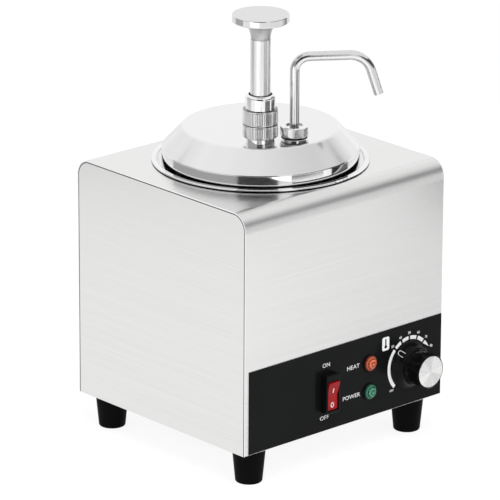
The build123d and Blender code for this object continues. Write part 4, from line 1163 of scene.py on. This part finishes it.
# ------------------------------------------------------------------ stage
FLOOR_REACH = 9.0
CAMERA_PLACE = (-2.61218, -2.85498, 1.48277)
CAMERA_RIGHT = (0.74034, -0.67222, 0.00400)
CAMERA_UP = (0.21413, 0.24146, 0.94649)

# Screens: name, distance from the middle, first and last degrees from +X, bottom and top, brightness.
FLAGS = (
    ("flag_low_front", 0.86, -98.0, -58.0, 0.0, 0.03, 0.01),
    ("flag_mid_front", 0.87, -98.0, -58.0, 0.03, 0.12, 0.16),
    ("flag_low_right", 0.80, -46.0, -6.0, 0.0, 0.075, 0.02),
    ("flag_low_camera", 0.86, -160.0, -120.0, 0.0, 0.06, 0.25),
    ("flag_high_camera", 0.86, -158.0, -113.0, 0.30, 1.0, 0.03),
    ("flag_high_front", 0.86, -97.0, -15.0, 0.36, 0.76, 0.09),
    ("flag_high_left", 0.86, -250.0, -158.0, 0.36, 0.76, 0.42),
    ("flag_low_left", 1.0, -248.0, -204.0, 0.0, 0.3, 0.5),
)


class WARMER_OT_stage(PieceOperator, bpy.types.Operator):
    """Pale floor, soft studio light, dark flags for the polished steel, and the camera"""

    bl_idname = "warmer.stage"
    bl_label = "Stage"

    def build(self, context):
        stage = context.scene.warmer_stage
        context.scene.view_settings.view_transform = "Standard"
        self.world(context, stage)
        self.floor()
        self.flags()
        self.lights(stage)
        self.camera(context, stage)

    def seen(self, shader):
        """Share that is 1 in a picture, a reflection or glass and 0 in light, and the light path."""
        path = shader.node("ShaderNodeLightPath")
        either = path["Is Camera Ray"] + path["Is Glossy Ray"] + path["Is Transmission Ray"]
        return shader.ramp(either, 0.0, 1.0), path

    def world(self, context, stage):
        """Even light on things; in reflections, a studio a little greyer overhead and in front."""
        world = bpy.data.worlds.new("studio")
        context.scene.world = world
        shader = Shader(world)
        seen, path = self.seen(shader)
        sky = shader.node("ShaderNodeBackground", None, {"Color": (1, 1, 1, 1), "Strength": stage.sky})
        direction = shader.node("ShaderNodeTexCoord")["Generated"]
        x, y, z = direction.parts()
        overhead = shader.ramp(z * 0.9 - x * 0.35 - y * 0.3, 0.0, 0.95, stage.far_sky, stage.near_sky)
        cloud = shader.noise(direction, 2.4, 1.0)
        tone = overhead + (cloud - 0.5) * 0.35
        camera = path["Is Camera Ray"]
        level = camera + (1.0 - camera) * tone
        shown = shader.node("ShaderNodeBackground", None, {"Color": shader.grey(level), "Strength": 1.0})
        both = shader.node("ShaderNodeMixShader", None, {0: seen, 1: sky, 2: shown})
        shader.node("ShaderNodeOutputWorld", None, {"Surface": both})

    def floor(self):
        """Pale paper that shows white and keeps the object's shadow."""
        shader = material("floor_paper")
        seen, path = self.seen(shader)
        grain = shader.noise(shader.place(), 140.0, 3.0)
        tone = shader.mix(shader.ramp(grain, 0.3, 0.7), (0.84, 0.84, 0.84), (0.87, 0.87, 0.87))
        matt = shader.node("ShaderNodeBsdfDiffuse", None, {"Color": tone})
        x, y, _ = shader.place().parts()
        # Painted light and shade on the floor that only reflections show: in front of the object, darker
        # near it and brighter further out and to the left.
        painted_floor_light = shader.ramp(y, -0.1, -0.3) * shader.ramp(y, -1.0, -0.75)
        shown = 0.97 + painted_floor_light * (0.0 - y * 1.05 - x * 0.7 - 0.275)
        camera = path["Is Camera Ray"]
        level = camera * 1.06 + (1.0 - camera) * shown
        glow = shader.node("ShaderNodeEmission", None, {"Color": shader.grey(level), "Strength": 1.0})
        both = shader.node("ShaderNodeMixShader", None, {0: seen * 0.82, 1: matt, 2: glow})
        shader.node("ShaderNodeOutputMaterial", None, {"Surface": both})
        shape = bmesh.new()
        bmesh.ops.create_grid(shape, x_segments=12, y_segments=12, size=FLOOR_REACH)
        floor = new_object("floor", new_mesh("floor", shape, shader.owner))

    def flags(self):
        """Curved screens round the object that only reflections show, for the bands in the steel."""
        for name, distance, start, end, low, high, tone in FLAGS:
            shape = bmesh.new()
            steps = 24
            turns = [math.radians(start + (end - start) * n / steps) for n in range(steps + 1)]
            rows = [
                [shape.verts.new((distance * math.cos(a), distance * math.sin(a), z)) for a in turns]
                for z in (low, high)
            ]
            for n in range(steps):
                shape.faces.new((rows[0][n], rows[0][n + 1], rows[1][n + 1], rows[1][n]))
            shader = material(name)
            cloth = shader.noise(shader.place(), 200.0)
            grey = shader.mix(cloth, shade((tone,) * 3, 0.9), shade((tone,) * 3, 1.1))
            glow = shader.node("ShaderNodeEmission", None, {"Color": grey, "Strength": 1.0})
            shader.node("ShaderNodeOutputMaterial", None, {"Surface": glow})
            flag = new_object(name, new_mesh(name, shape, shader.owner))
            flag.visible_camera = False
            flag.visible_diffuse = False
            flag.visible_shadow = False
            flag.visible_transmission = False

    def lights(self, stage):
        """Two soft boxes, which polished steel doesn't show."""
        aim = Vector((0, 0, 0.15))
        for name, place, size, power in (
            ("soft_box_above", (-0.5, -0.9, 1.9), 1.4, stage.key_light),
            ("soft_box_left", (-1.7, 0.4, 0.9), 1.0, stage.side_light),
        ):
            lamp = bpy.data.lights.new(name, "AREA")
            lamp.shape = "SQUARE"
            lamp.size = size
            lamp.energy = power
            holder = new_object(name, lamp)
            holder.visible_glossy = False
            holder.location = place
            holder.rotation_euler = (aim - Vector(place)).to_track_quat("-Z", "Y").to_euler()

    def camera(self, context, stage):
        """Long lens from the front left, looking down on the object."""
        lens = bpy.data.cameras.new("camera")
        lens.sensor_width = 36.0
        lens.lens = stage.lens
        lens.clip_start = 0.1
        lens.clip_end = 60.0
        holder = new_object("camera", lens)
        right = Vector(CAMERA_RIGHT).normalized()
        up = Vector(CAMERA_UP).normalized()
        back = right.cross(up).normalized()
        up = back.cross(right)
        turn = Matrix((right, up, back)).transposed()
        holder.matrix_world = Matrix.Translation(CAMERA_PLACE) @ turn.to_4x4()
        context.scene.camera = holder


OPERATORS = (
    WARMER_OT_casing,
    WARMER_OT_well,
    WARMER_OT_panel,
    WARMER_OT_switch,
    WARMER_OT_lamps,
    WARMER_OT_thermostat,
    WARMER_OT_supply,
    WARMER_OT_lid,
    WARMER_OT_pump,
    WARMER_OT_spout,
    WARMER_OT_stage,
)
SETTINGS = {
    "warmer_print": WarmerPrint,
    "warmer_details": WarmerDetails,
    "warmer_colours": WarmerColours,
    "warmer_stage": WarmerStage,
}


class VIEW3D_PT_warmer(bpy.types.Panel):
    """Sidebar tab with the warmer's settings and its pieces."""

    bl_idname = "VIEW3D_PT_warmer"
    bl_label = "Topping Warmer"
    bl_space_type = "VIEW_3D"
    bl_region_type = "UI"
    bl_category = "Warmer"

    def draw(self, context):
        layout = self.layout
        for setting, group in SETTINGS.items():
            box = layout.box()
            values = getattr(context.scene, setting)
            for name in group.__annotations__:
                box.prop(values, name)
        for operator in OPERATORS:
            layout.operator(operator.bl_idname)


CLASSES = (*SETTINGS.values(), *OPERATORS, VIEW3D_PT_warmer)


def register():
    for cls in CLASSES:
        bpy.utils.register_class(cls)
    for setting, group in SETTINGS.items():
        setattr(bpy.types.Scene, setting, PointerProperty(type=group))


def unregister():
    for setting in SETTINGS:
        delattr(bpy.types.Scene, setting)
    for cls in reversed(CLASSES):
        bpy.utils.unregister_class(cls)


def main():
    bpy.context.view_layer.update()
    register()
    for operator in OPERATORS:
        space, name = operator.bl_idname.split(".")
        getattr(getattr(bpy.ops, space), name)()


if __name__ == "__main__":
    main()
